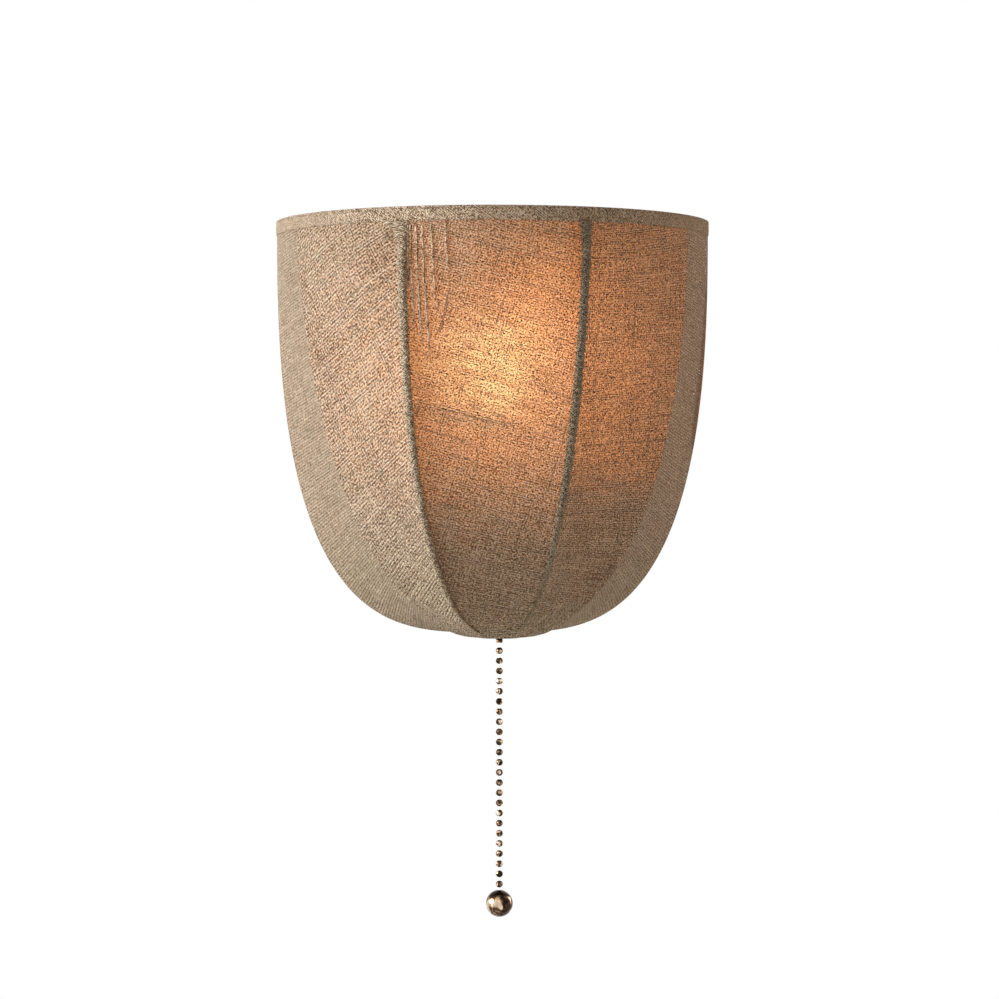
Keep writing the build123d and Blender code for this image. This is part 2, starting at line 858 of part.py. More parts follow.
def make_switch_housing():
    """Turned cup between the arm and the lampholder; the pull switch sits inside."""
    cup = rod(housing_radius, housing_bottom, housing_top, 0, holder_y)
    cup = fillet(cup.edges().group_by(Axis.Z)[0], housing_fillet)
    hollow = rod(housing_bore, housing_bottom + housing_wall, housing_top + 1, 0, holder_y)
    hollow = fillet(hollow.edges().group_by(Axis.Z)[0], housing_fillet - housing_wall)
    cup -= hollow
    cup -= rod_y(thread_radius + thread_clearance, holder_y, housing_back + 1, 0, arm_z)
    bush = thread_radius + thread_clearance
    cup -= rod(bush, housing_bottom - 1, housing_bottom + housing_wall + 1, hub_x, hub_y)
    screw_z = housing_top - housing_lip_height / 2
    reach = housing_radius + 1
    return cup - rod_x(housing_screw_radius + screw_clearance, -reach, reach, holder_y, screw_z)


def make_housing_cover():
    """Disc that closes the housing, with a lip inside it and a hole for the nipple."""
    disc = rod(housing_radius, housing_top, housing_top + housing_wall, 0, holder_y)
    disc = fillet(disc.edges().group_by(Axis.Z)[-1], housing_edge_fillet)
    lip_out = housing_radius - housing_wall - thread_clearance
    low = housing_top - housing_lip_height
    disc += rod(lip_out, low, housing_top, 0, holder_y)
    disc -= rod(lip_out - housing_lip_wall, low - 1, housing_top, 0, holder_y)
    screw_z = housing_top - housing_lip_height / 2
    bore = housing_screw_radius + thread_clearance
    disc -= rod_x(bore, -housing_radius - 1, housing_radius + 1, holder_y, screw_z)
    bush = thread_radius + thread_clearance
    return disc - rod(bush, low, housing_top + housing_wall + 1, 0, holder_y)


def make_housing_screws():
    """Two small screws through the housing's side into the cover's lip."""
    z = housing_top - housing_lip_height / 2
    inner = housing_radius - housing_wall - housing_lip_wall
    head = housing_radius + weld_gap
    reach = housing_screw_head_radius + 1
    half = housing_slot_half
    screws = []
    for side in (-1, 1):
        screw = rod_x(housing_screw_radius, side * inner, side * head, holder_y, z)
        tip = head + housing_screw_head_height
        screw += rod_x(housing_screw_head_radius, side * head, side * tip, holder_y, z)
        floor = side * (tip - housing_slot_depth)
        end = side * (tip + 1)
        slot = block(floor, end, holder_y - reach, holder_y + reach, z - half, z + half)
        screws.append(screw - slot)
    return screws


# ---------------------------------------------------------------- pull switch
switch_floor = housing_bottom + housing_wall + thread_clearance
stem_x = chain_offset
lever_x = stem_x - lever_radius
swing = radians(lever_swing)
head_clear = lever_half_thickness + bead_radius + weld_gap
head_rise = (head_clear + lever_radius * sin(swing)) / cos(swing)
head_fall = (head_clear - lever_radius * sin(swing)) / cos(swing)
pull_travel = head_rise - head_fall
collar_rest = head_rise - stem_collar_drop
collar_pulled = head_fall - stem_collar_drop - stem_collar_thickness
spring_seat = collar_pulled - spring_solid_height
lever_z = switch_floor + switch_wall - spring_seat
switch_inside_top = lever_z + head_rise + bead_radius + stem_clearance
switch_top = switch_inside_top + switch_lid_thickness
switch_mid_x = (stem_x + stem_collar_radius + lever_x - lever_hub_radius - lever_room) / 2
stem_bottom = rim_z - first_bead_below_rim + 2 * bead_pitch + coupling_height / 2


tag_back = hub_y + switch_depth / 2 + thread_clearance
tag_front = tag_back + tag_thickness
TAG_X = [-tag_spacing / 2, tag_spacing / 2]


def make_switch_body():
    """Moulded switch case with a threaded bush through the housing's floor."""
    x0, x1 = switch_mid_x - switch_width / 2, switch_mid_x + switch_width / 2
    y0, y1 = hub_y - switch_depth / 2, hub_y + switch_depth / 2
    case = block(x0, x1, y0, y1, switch_floor, switch_inside_top)
    case = fillet(case.edges().filter_by(Axis.Z), switch_corner)
    case -= block(
        x0 + switch_wall,
        x1 - switch_wall,
        y0 + switch_wall,
        y1 - switch_wall,
        switch_floor + switch_wall,
        switch_inside_top + 1,
    )
    bush_end = housing_bottom - nut_height - bush_past_nut
    case += rod(thread_radius, bush_end, switch_floor, stem_x, hub_y)
    floor_top = switch_floor + switch_wall
    case -= rod(stem_radius + stem_clearance, switch_floor, floor_top + 1, stem_x, hub_y)
    case -= rod(bush_bore_radius, bush_end - 1, switch_floor, stem_x, hub_y)
    pin_half = switch_depth / 2 - switch_wall / 2
    return case - rod_y(lever_pin_radius, hub_y - pin_half, hub_y + pin_half, lever_x, lever_z)


def make_switch_lid():
    """Flat lid of the switch case."""
    x0, x1 = switch_mid_x - switch_width / 2, switch_mid_x + switch_width / 2
    y0, y1 = hub_y - switch_depth / 2, hub_y + switch_depth / 2
    lid = block(x0, x1, y0, y1, switch_inside_top, switch_top)
    return fillet(lid.edges().filter_by(Axis.Z), switch_corner)


def make_lever_pin():
    """Steel pin on which the switch lever turns."""
    half = switch_depth / 2 - switch_wall / 2 - running_clearance
    return rod_y(lever_pin_radius, hub_y - half, hub_y + half, lever_x, lever_z)


def make_switch_lever():
    """Forked lever: the stem's bead presses on the fork, and the hub turns on its pin."""
    half = lever_width / 2
    reach = lever_x + lever_radius + lever_reach_past_stem
    t = lever_half_thickness
    lever = rod_y(lever_hub_radius, -half, half, lever_x, lever_z)
    lever = Pos(0, hub_y, 0) * lever
    lever += block(lever_x, reach, hub_y - half, hub_y + half, lever_z - t, lever_z + t)
    slot = lever_slot_width / 2
    start = stem_x - slot - stem_radius
    lever -= block(start, reach + 1, hub_y - slot, hub_y + slot, lever_z - 2 * t, lever_z + 2 * t)
    bore = lever_pin_radius + running_clearance
    lever -= rod_y(bore, hub_y - half - 1, hub_y + half + 1, lever_x, lever_z)
    tip = lever_x - lever_nose_reach
    root = lever_x - lever_hub_radius + lever_nose_half_thickness
    wide = lever_nose_width / 2
    thick = lever_nose_half_thickness
    lever += block(tip, root, hub_y - wide, hub_y + wide, lever_z - thick, lever_z + thick)
    return Pos(lever_x, 0, lever_z) * Rot(0, -lever_swing, 0) * Pos(-lever_x, 0, -lever_z) * lever


def make_switch_contacts():
    """Two brass tags on the back of the switch."""
    low = switch_inside_top - tag_height
    return [
        block(x - tag_width / 2, x + tag_width / 2, tag_back, tag_front, low, switch_inside_top)
        for x in TAG_X
    ]


def make_pull_stem():
    """Stem with a bead on top, a collar for the spring and a straight shaft down."""
    top = lever_z + head_rise
    collar = lever_z + collar_rest
    stem = rod(stem_radius, stem_bottom, top, stem_x, hub_y)
    stem += Pos(stem_x, hub_y, top) * Sphere(bead_radius)
    return stem + rod(stem_collar_radius, collar - stem_collar_thickness, collar, stem_x, hub_y)


spring_low = switch_floor + switch_wall
spring_high = lever_z + collar_rest - stem_collar_thickness


def make_return_spring():
    """Compression spring between the switch's floor and the stem's collar."""
    wire = spring_wire / 2
    low = spring_low + wire + weld_gap / 2
    rise = spring_high - wire - weld_gap / 2 - low
    helix = Helix(pitch=rise / spring_turns, height=rise, radius=spring_coil_radius)
    section = Plane(origin=helix @ 0, z_dir=helix % 0) * Circle(wire)
    return Pos(stem_x, hub_y, low) * sweep(section, path=helix, is_frenet=True)


def make_switch_bell():
    """Flared ring on the end of the bush, through which the chain comes out."""
    high = housing_bottom - nut_height - weld_gap
    bush_end = housing_bottom - nut_height - bush_past_nut
    outer = thread_radius + bell_wall
    bell = rod(outer, high - bell_height, high, stem_x, hub_y)
    bell = fillet(bell.edges().group_by(Axis.Z)[0], bell_wall / 2)
    bell -= rod(thread_radius + thread_clearance, bush_end - thread_clearance, high + 1, stem_x, hub_y)
    mouth = bush_bore_radius + bell_mouth_play
    return bell - rod(mouth, high - bell_height - 1, high, stem_x, hub_y)


# ---------------------------------------------------------------- lampholder
def make_nipple():
    """Threaded tube that joins the housing's cover and the lampholder."""
    low = housing_top - thread_length
    high = holder_bottom + thread_length
    tube = rod(thread_radius, low, high, 0, holder_y)
    return tube - rod(nipple_bore_radius, low - 1, high + 1, 0, holder_y)


def make_holder_cap():
    """Lower half of the lampholder: a cup that screws onto the nipple."""
    cap_top = holder_bottom + holder_cap_height
    cup = rod(holder_cap_radius, holder_bottom, cap_top, 0, holder_y)
    cup = fillet(cup.edges().group_by(Axis.Z)[0], holder_cap_fillet)
    floor = holder_bottom + holder_floor
    cup -= rod(holder_cap_radius - holder_wall, floor, cap_top + 1, 0, holder_y)
    bush = thread_radius + thread_clearance
    return cup - rod(bush, holder_bottom - 1, floor + 1, 0, holder_y)


def make_holder_skirt():
    """Upper half of the lampholder, with a ribbed grip round it."""
    low = holder_bottom + holder_cap_height + thread_clearance
    skirt = rod(holder_radius, low, holder_top, 0, holder_y)
    skirt = fillet(skirt.edges().group_by(Axis.Z)[-1], holder_rim_fillet)
    core = rod(holder_radius - holder_groove_depth, low - 1, holder_top + 1, 0, holder_y)
    for i in range(holder_groove_count):
        z = low + holder_groove_rise + i * holder_groove_pitch
        skirt -= rod(holder_radius + 1, z, z + holder_groove_width, 0, holder_y) - core
    return skirt - rod(holder_radius - holder_wall, low - 1, holder_top + 1, 0, holder_y)


insert_low = holder_bottom + holder_cap_height - holder_insert_sink
insert_high = insert_low + holder_insert_height
cap_low = holder_top - bulb_cap_below_rim - bulb_cap_length
tip_low = cap_low - bulb_tip_height
contact_seat = tip_low - contact_height


def make_holder_insert():
    """Ceramic contact block inside the lampholder, open for the bulb's tip."""
    radius = holder_cap_radius - holder_wall - weld_gap
    disc = rod(radius, insert_low, contact_seat, 0, holder_y)
    shell_out = bulb_cap_radius + thread_shell_play + thread_shell_wall
    disc += rod(radius, insert_low, insert_high, 0, holder_y)
    disc -= rod(shell_out + weld_gap, contact_seat, insert_high + 1, 0, holder_y)
    hole = insert_wire_hole_radius
    return disc - rod(hole, insert_low - 1, insert_high + 1, insert_wire_hole_x, holder_y)


def make_thread_shell():
    """Thin brass screw shell that takes the bulb's cap."""
    inner = bulb_cap_radius + thread_shell_play
    low = contact_seat + weld_gap
    high = holder_top - thread_shell_sunk
    shell = rod(inner + thread_shell_wall, low, high, 0, holder_y)
    shell -= rod(inner, low - 1, high + 1, 0, holder_y)
    flange_low = high - thread_shell_flange
    flange = rod(holder_radius - holder_wall - weld_gap, flange_low, high, 0, holder_y)
    return shell + (flange - rod(inner, flange_low - 1, high + 1, 0, holder_y))


def make_centre_contact():
    """Springy brass tongue under the bulb's tip."""
    low = contact_seat + weld_gap
    step = low + tongue_thickness
    y0, y1 = holder_y - tongue_half_width, holder_y + tongue_half_width
    tongue = block(-tongue_back, tongue_front, y0, y1, low, step)
    return tongue + block(-tongue_raised, tongue_front, y0, y1, step, tip_low - weld_gap)


# ---------------------------------------------------------------- bulb
bulb_z = holder_top + bulb_centre_above_holder
neck_low = holder_top - bulb_cap_below_rim


def bulb_outline(wall):
    """Half outline of the glass, this far inside its outer surface."""
    ball = bulb_radius - wall
    neck = bulb_neck_radius - wall
    bend = bulb_neck_fillet + wall
    centre = Vector(neck + bend, 0, bulb_z - sqrt((ball + bend) ** 2 - (neck + bend) ** 2))
    reach = Vector(0, 0, bulb_z) + (centre - Vector(0, 0, bulb_z)).normalized() * ball
    waist = Vector(neck, 0, centre.Z)
    mid = centre + ((waist - centre).normalized() + (reach - centre).normalized()).normalized() * bend
    top = Vector(0, 0, bulb_z + ball)
    return Vector(neck, 0, neck_low), waist, mid, reach, Vector(ball, 0, bulb_z), top


def make_bulb_glass():
    """Blown glass envelope with a narrow neck."""
    a, b, c, d, e, f = bulb_outline(0.0)
    p, q, r, s, t, u = bulb_outline(bulb_glass_wall)
    outline = [
        Line(a, b),
        ThreePointArc(b, c, d),
        ThreePointArc(d, e, f),
        Line(f, u),
        ThreePointArc(u, t, s),
        ThreePointArc(s, r, q),
        Line(q, p),
        Line(p, a),
    ]
    return Pos(0, holder_y, 0) * revolve(make_face(outline), axis=Axis.Z)


def make_bulb_cap():
    """Screw cap of the bulb, rolled into rounded threads."""
    crest = bulb_cap_radius
    shell = rod(crest, cap_low, holder_top, 0, holder_y)
    groove = Torus(crest + bulb_thread_offset, bulb_thread_round)
    for i in range(bulb_thread_turns):
        z = cap_low + bulb_thread_start + i * bulb_thread_pitch
        shell -= Pos(0, holder_y, z) * groove
    bore = bulb_neck_radius + thread_clearance
    return shell - rod(bore, cap_low + bulb_cap_floor, holder_top + 1, 0, holder_y)


def make_bulb_tip():
    """Insulator and centre contact at the end of the bulb's cap."""
    low = tip_low + bulb_contact_height
    height = cap_low - low - thread_clearance
    cone = Cone(bulb_tip_radius, bulb_cap_radius - bulb_cap_crimp, height)
    cone = Pos(0, holder_y, low + height / 2) * cone
    return cone + rod(bulb_contact_radius, tip_low, low + height / 2, 0, holder_y)


glass_stem_top = bulb_z + filament_length / 2 + glass_stem_past_filament


def make_bulb_stem():
    """Glass stem inside the bulb, with two small stars of support wire."""
    foot = bulb_neck_radius - bulb_glass_wall - glass_stem_play
    flare_mid = neck_low + glass_stem_flare / 2
    stem = Pos(0, holder_y, flare_mid) * Cone(foot, glass_stem_waist, glass_stem_flare)
    stem += rod(glass_stem_radius, flare_mid, glass_stem_top, 0, holder_y)
    arm = Box(2 * (filament_ring_radius + filament_radius), star_width, star_thickness)
    star_z = filament_length / 2 + star_offset
    for z in (bulb_z - star_z, bulb_z + star_z):
        for half_turn in (0, 90):
            stem += Pos(0, holder_y, z) * Rot(0, 0, half_turn) * arm
    return stem


def make_bulb_filaments():
    """Four light-emitting rods round the stem."""
    half = filament_length / 2 - filament_end_gap
    rods = []
    for i in range(filament_count):
        turn = 2 * pi * i / filament_count
        x = filament_ring_radius * cos(turn)
        y = holder_y + filament_ring_radius * sin(turn)
        rods.append(rod(filament_radius, bulb_z - half, bulb_z + half, x, y))
    return rods


# ---------------------------------------------------------------- ball chain
first_bead_z = rim_z - first_bead_below_rim


def bead(z):
    """Hollow bead with a hole at the top and one at the bottom."""
    ball = Sphere(bead_radius) - Sphere(bead_radius - bead_wall)
    ball -= rod(link_hole_radius, -bead_radius - 1, bead_radius + 1)
    return Pos(stem_x, hub_y, z) * ball


def link(z, upper_centred=False):
    """Dumbbell link that hangs from the bead at z down into the next bead."""
    head_drop = 0.0 if upper_centred else link_head_radius + link_play
    top = z - head_drop
    bottom = z - bead_pitch + link_head_radius + link_play
    pin = rod(link_radius, bottom, top, stem_x, hub_y)
    pin += Pos(stem_x, hub_y, top) * Sphere(link_head_radius)
    return pin + Pos(stem_x, hub_y, bottom) * Sphere(link_head_radius)


def fixed_bead(z, link_top):
    """Bead whose upper link is fast in it, and whose wide mouth lets the next link swing."""
    ball = Sphere(bead_radius) - Sphere(bead_radius - bead_wall)
    ball -= rod(swing_hole_radius, -bead_radius - 1, 0)
    ball = Pos(stem_x, hub_y, z) * ball
    return ball + rod(link_radius, z + bead_radius - bead_wall / 2, link_top, stem_x, hub_y)


def make_chain_coupling():
    """Crimped brass coupling that joins the stem to the ball chain."""
    low = stem_bottom - coupling_height
    high = stem_bottom + coupling_grip
    floor = low + coupling_floor
    sleeve = rod(coupling_radius, low, high, stem_x, hub_y)
    sleeve = chamfer(sleeve.edges().group_by(Axis.Z)[0], coupling_chamfer)
    sleeve -= rod(bead_radius + weld_gap, floor, stem_bottom - coupling_web, stem_x, hub_y)
    sleeve -= rod(link_hole_radius, low - 1, floor + weld_gap, stem_x, hub_y)
    bore = stem_radius + thread_clearance
    return sleeve - rod(bore, stem_bottom - 2 * coupling_web, high + 1, stem_x, hub_y)


def make_guide_bead():
    """Bead inside the eyelet, hung from the bead that the coupling holds."""
    held = first_bead_z + 2 * bead_pitch
    lower = first_bead_z + bead_pitch
    return Pos(stem_x, hub_y, held) * Sphere(bead_radius) + fixed_bead(lower, held)


def make_swivel_bead():
    """First hanging bead, whose link swings in the bead above."""
    upper = first_bead_z + bead_pitch
    head = Pos(stem_x, hub_y, upper) * Sphere(link_head_radius)
    return fixed_bead(first_bead_z, upper) + head


def make_bead_chain():
    """Hollow beads that hang below the first one."""
    return [bead(first_bead_z - i * bead_pitch) for i in range(1, hanging_beads)]


last_bead_z = first_bead_z - (hanging_beads - 1) * bead_pitch
ball_centre_z = last_bead_z - bead_radius - pull_ball_gap - pull_ball_radius


def make_chain_links():
    """Dumbbell links between the beads, down to the pull ball."""
    links = [link(first_bead_z, upper_centred=True)]
    links += [link(first_bead_z - i * bead_pitch) for i in range(1, hanging_beads - 1)]
    head = last_bead_z - link_head_radius - link_play
    tail = ball_centre_z + pull_ball_radius - pull_ball_wall - link_head_radius - 4 * link_play
    pin = rod(link_radius, tail, head, stem_x, hub_y)
    pin += Pos(stem_x, hub_y, head) * Sphere(link_head_radius)
    pin += Pos(stem_x, hub_y, tail) * Sphere(link_head_radius)
    return links + [pin]


def make_pull_ball():
    """Turned metal ball at the end of the chain."""
    ball = Sphere(pull_ball_radius)
    roof = pull_ball_radius - pull_ball_wall
    ball -= rod(link_hole_radius, roof, pull_ball_radius + 1)
    ball -= rod(link_head_radius + pull_ball_pocket_play, roof - pull_ball_pocket, roof)
    return Pos(stem_x, hub_y, ball_centre_z) * ball


# ---------------------------------------------------------------- internal wires
terminal_foot = terminal_rise - terminal_height / 2
wire_start = terminal_foot + wire_in_terminal
crossing_z = (switch_top + housing_top - thread_length) / 2
contact_foot = insert_low - weld_gap


def make_live_wire():
    """From the terminal block through the arm to the switch."""
    x, y = TERMINAL_X[0], terminal_mid_y
    route = [
        (x, y, wire_start),
        (x, y, terminal_foot - live_turn_drop),
        (live_wire_x, y, arm_z + live_dip),
        (live_wire_x, y, arm_z),
        (live_wire_x, tag_front + wire_gap, arm_z),
    ]
    return lead(route, wire_bend)


def make_neutral_wire():
    """From the terminal block through the arm and the nipple to the lampholder."""
    x, y = TERMINAL_X[1], terminal_mid_y
    z = arm_z + neutral_lift
    turn_y = tag_front + wire_radius + neutral_tag_gap
    route = [
        (x, y, wire_start),
        (x, y, terminal_foot - neutral_turn_drop),
        (neutral_wire_x, y, z + neutral_dip),
        (neutral_wire_x, y, z),
        (neutral_wire_x, turn_y, z),
        (neutral_wire_x, turn_y, crossing_z),
        (-nipple_wire_x, holder_y, crossing_z),
        (-nipple_wire_x, holder_y, contact_foot),
    ]
    return lead(route, wire_bend)


def make_switched_wire():
    """From the switch through the nipple to the lampholder."""
    y = tag_front + wire_radius + wire_gap
    route = [
        (TAG_X[1], y, switch_inside_top - tag_height + wire_on_tag),
        (TAG_X[1], y, crossing_z),
        (nipple_wire_x, holder_y, crossing_z),
        (nipple_wire_x, holder_y, contact_foot),
    ]
    return lead(route, wire_bend)


def make_earth_wire():
    """From the terminal block to the screw on the wall plate."""
    x, y = TERMINAL_X[2], terminal_mid_y
    end_x = earth_screw_x - 2 * terminal_screw_radius - wire_gap
    end_y = -plate_thickness - wire_radius - wire_gap
    route = [
        (x, y, wire_start),
        (x, y, -earth_screw_drop),
        (end_x - earth_wire_run, end_y, -earth_screw_drop),
        (end_x, end_y, -earth_screw_drop),
    ]
    return lead(route, wire_bend)


# ---------------------------------------------------------------- all the pieces
def all_pieces():
    """Every piece of the light, by name; a list holds separate solids of one kind."""
    pieces = {
        "mounting_plate": make_mounting_plate(),
        "wall_cover": make_cover(),
        "cover_screws": make_cover_screws(),
        "shade_hooks": make_shade_hooks(),
        "terminal_block": make_terminal_block(),
        "terminal_inserts": make_terminal_inserts(),
        "terminal_screws": make_terminal_screws(),
        "arm_tube": make_arm(),
        "thread_nuts": make_thread_nuts(),
        "switch_housing": make_switch_housing(),
        "housing_cover": make_housing_cover(),
        "housing_screws": make_housing_screws(),
        "switch_body": make_switch_body(),
        "switch_lid": make_switch_lid(),
        "switch_contacts": make_switch_contacts(),
        "switch_lever": make_switch_lever(),
        "lever_pin": make_lever_pin(),
        "return_spring": make_return_spring(),
        "pull_stem": make_pull_stem(),
        "switch_bell": make_switch_bell(),
        "nipple": make_nipple(),
        "holder_cap": make_holder_cap(),
        "holder_skirt": make_holder_skirt(),
        "holder_insert": make_holder_insert(),
        "thread_shell": make_thread_shell(),
        "centre_contact": make_centre_contact(),
        "live_wire": make_live_wire(),
        "neutral_wire": make_neutral_wire(),
        "switched_wire": make_switched_wire(),
        "earth_wire": make_earth_wire(),
        "bulb_glass": make_bulb_glass(),
        "bulb_cap": make_bulb_cap(),
        "bulb_tip": make_bulb_tip(),
        "bulb_stem": make_bulb_stem(),
        "bulb_filaments": make_bulb_filaments(),
        "chain_coupling": make_chain_coupling(),
        "guide_bead": make_guide_bead(),
        "swivel_bead": make_swivel_bead(),
        "chain_beads": make_bead_chain(),
        "chain_links": make_chain_links(),
        "pull_ball": make_pull_ball(),
        "top_ring": make_top_ring(),
        "top_bar": make_top_bar(),
        "rear_hoop": make_rear_hoop(),
        "hanger_bar": make_hanger_bar(),
        "bottom_stay": make_bottom_stay(),
        "hub_ring": make_hub_ring(),
        "eyelet": make_eyelet(),
        "top_hem": make_top_hem(),
        "rear_binding": make_rear_binding(),
        "panel_side_left": side_panel(-1, "far_left"),
        "panel_left": front_panel("far_left", "near_left"),
        "panel_centre": front_panel("near_left", "near_right"),
        "panel_right": front_panel("near_right", "far_right"),
        "panel_side_right": side_panel(1, "far_right"),
    }
    for name in RIBS:
        pieces["rib_" + name] = make_rib(name)
    pieces["rib_piping"] = [make_piping(name) for name in ("near_left", "near_right")]
    return pieces


os.makedirs("parts", exist_ok=True)
for name, piece in all_pieces().items():
    if isinstance(piece, list):
        piece = Compound(children=piece)
    export_step(piece, os.path.join("parts", name + ".step"))
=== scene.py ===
"""Looks of the fabric half-shade wall light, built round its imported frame. Sizes in metres."""

import json
from math import asin, cos, hypot, pi, radians, sin, sqrt

import bpy
import numpy as np
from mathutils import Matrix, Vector, noise


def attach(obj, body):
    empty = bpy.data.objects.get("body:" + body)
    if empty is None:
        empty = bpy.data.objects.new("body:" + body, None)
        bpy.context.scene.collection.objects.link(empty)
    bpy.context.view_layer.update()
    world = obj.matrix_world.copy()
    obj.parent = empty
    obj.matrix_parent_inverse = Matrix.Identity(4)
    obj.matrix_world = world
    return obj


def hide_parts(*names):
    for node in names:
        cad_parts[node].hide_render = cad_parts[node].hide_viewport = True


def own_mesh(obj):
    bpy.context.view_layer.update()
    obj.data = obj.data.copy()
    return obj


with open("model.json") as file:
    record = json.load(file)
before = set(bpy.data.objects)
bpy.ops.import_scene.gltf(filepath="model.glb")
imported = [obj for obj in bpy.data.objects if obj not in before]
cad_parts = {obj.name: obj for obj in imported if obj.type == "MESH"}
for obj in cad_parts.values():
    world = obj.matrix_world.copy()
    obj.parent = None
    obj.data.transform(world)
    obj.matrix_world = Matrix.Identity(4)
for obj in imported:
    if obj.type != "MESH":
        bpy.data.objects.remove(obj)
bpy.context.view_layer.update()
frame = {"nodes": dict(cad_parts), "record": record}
MM = 0.001

# ---------------------------------------------------------------- the shade's sizes
HALF_WIDTH = 100.0 * MM
DEPTH = 110.0 * MM
HEIGHT = 190.0 * MM
RIM_Z = 135.0 * MM
FABRIC = 0.9 * MM
HUB = Vector((3.2, -50.0, 0.0)) * MM
HOOP_Y = -5.0 * MM
HOOP_FALL = 2.65
HOOP_REACH = 3.3
RIB_REACH = 2.4
ROUND_SHARE = 0.35
END_REACH = 5.0 * MM
SEAM_GAP = 0.15 * MM
CLOTH_GAP = 0.15 * MM
FRAME_RADIUS = 1.5 * MM
HEM_HEIGHT = 6.5 * MM
HEM_THICKNESS = 0.7 * MM
BINDING = 0.8 * MM
PIPING_WIDTH = 3.3 * MM
PIPING_HEIGHT = 1.7 * MM
PIPING_GAP = 0.35 * MM
PANEL_DROP = HEM_THICKNESS + 0.1 * MM
FRAME_INSET = FABRIC + CLOTH_GAP + FRAME_RADIUS
RING_DEPTH = DEPTH - FRAME_INSET
RING_FROM_WALL = 8.15 * MM

# Each rib: where it leaves the rim, and how steeply it falls
RIBS = {
    "far_left": (-88.0 * MM, 1.8),
    "near_left": (-39.0 * MM, 2.45),
    "near_right": (41.5 * MM, 1.6),
    "far_right": (88.0 * MM, 2.2),
}

# How finely the panels are divided, and the threads of their cloth
PANEL_ROWS = 170
PANEL_COLUMNS = 80
SIDE_COLUMNS = 60
PANEL_THICKNESS = 0.8 * MM
THREAD_PITCH = 1.6 * MM

# Hem: its fold, its lower edge, and how it thins and sinks towards its ends
HEM_BEND = 1.0 * MM
HEM_SKIM = 0.06 * MM
HEM_EDGE = 0.12 * MM
HEM_FLARE = 2.6 * MM
HEM_END = 11.0 * MM
HEM_END_DROP = 2.2 * MM
HEM_SWAY = 0.25 * MM
HEM_STEPS = 420
HEM_BIAS = radians(38)
HEM_LIGHT = 0.05

# Cords on the near ribs, and the strip wound round the rear hoop
CORD_TWIST = 8.0 * MM
CORD_GATHER = 5.0 * MM
CORD_CURL = 110.0 * MM
CORD_STEP = 0.35 * MM
BINDING_STEP = 0.6 * MM
BINDING_MIDDLE_Z = 0.04
LAP_PITCH = 6.0 * MM
LAP_EDGE = 0.22 * MM

# Gathering threads: place across the centre panel, and share of its length
GATHERS = [(0.055, 0.30), (0.095, 0.31), (0.133, 0.36), (0.19, 0.22), (0.27, 0.15), (0.035, 0.2)]
GATHER_RADIUS = 0.50 * MM
GATHER_LIFT = 0.12 * MM
GATHER_SWAY = 0.35 * MM

# Cap of cloth round the chain's exit: how far it reaches, its hole and its level part
CAP_SIDE = 48 * MM
CAP_FRONT = 16 * MM
CAP_BACK = 24 * MM
CAP_HOLE = 2.95 * MM
CAP_FLAT = 8.0 * MM
CAP_GAP = 0.06 * MM
CAP_SOFT = 0.4 * MM
CAP_THICKNESS = 0.5 * MM
CAP_CLOTH_HEIGHT = 25 * MM

# Return spring: its turns, its radius and its wire
SPRING_TURNS = 5
SPRING_RADIUS = 2.1 * MM
SPRING_WIRE = 0.5 * MM

# The lamp's light in the cloth: lamp, hottest place, strong upper right and shaded edges
BULB = Vector((0.0, -50.0, 70.0)) * MM
GLOW_REACH = 0.060
HOT_PLACE = Vector((-0.001, -0.106, 0.063))
HOT_RADIUS = 0.046
UPPER_WARM = Vector((0.026, -0.100, 0.104))
UPPER_RADIUS = 0.045
RIGHT_SEAM = (0.030, 0.038)
SOFT_EDGE = (-0.024, 0.028)
HARD_EDGE = (0.003, 0.025)
COLLAR_Z = 0.040

# Light that the right side's rear edge catches: level, width, and heights it fades between
REAR_GLOW = 2.2
REAR_GLOW_WIDTH = 1.3 * MM
REAR_GLOW_HEIGHTS = (0.030, 0.106)
REAR_GLOW_FADE = 0.02

# Colours of the cloth, from the dark of its gaps to the light of its raised threads
WHITE = (1.0, 1.0, 1.0)
LINEN_STOPS = [
    (0.0, (0.135, 0.088, 0.052)),
    (0.24, (0.36, 0.27, 0.18)),
    (0.56, (0.68, 0.545, 0.405)),
    (1.0, (0.98, 0.87, 0.73)),
]
FLECK = (0.10, 0.062, 0.036)
# Painted shade: the cloth is darker and greyer towards the bottom, by this colour, faded in
# between these heights
LOW_PAINTED_SHADE = (0.87, 0.88, 0.82)
LOW_SHADE_HEIGHTS = (-0.040, 0.004)
# Painted shade: the cloth right of the near right rib is darker and warmer where the lamp's light
# comes through it
RIGHT_PAINTED_SHADE = (0.91, 0.75, 0.68)
GLOW_DEEP = (0.33, 0.090, 0.020)
GLOW_HOT = (0.38, 0.21, 0.080)

# Bronze of chain and ball, with painted reflections: from near-black areas to pale bright ones
BRONZE_REFLECTION_STOPS = [
    (0.42, (0.020, 0.012, 0.008)),
    (0.52, (0.11, 0.062, 0.036)),
    (0.59, (0.50, 0.34, 0.21)),
    (0.68, (0.95, 0.84, 0.68)),
]
PALE_LINK = (0.97, 0.95, 0.92)
LINK_RADIUS = (0.40 * MM, 0.55 * MM)

# Metals: colour, roughness, depth of the marks, their stretch and wear
PLAIN = (1.0, 1.0, 1.0)
METALS = {
    "zinc_steel": ((0.66, 0.67, 0.68), 0.34, 0.12, (1.0, 1.0, 0.08)),
    "nickel": ((0.74, 0.71, 0.66), 0.2, 0.06),
    "aged_brass": ((0.20, 0.145, 0.085), 0.42, 0.12, PLAIN, 0.2),
    "brass": ((0.80, 0.62, 0.30), 0.3, 0.1),
}

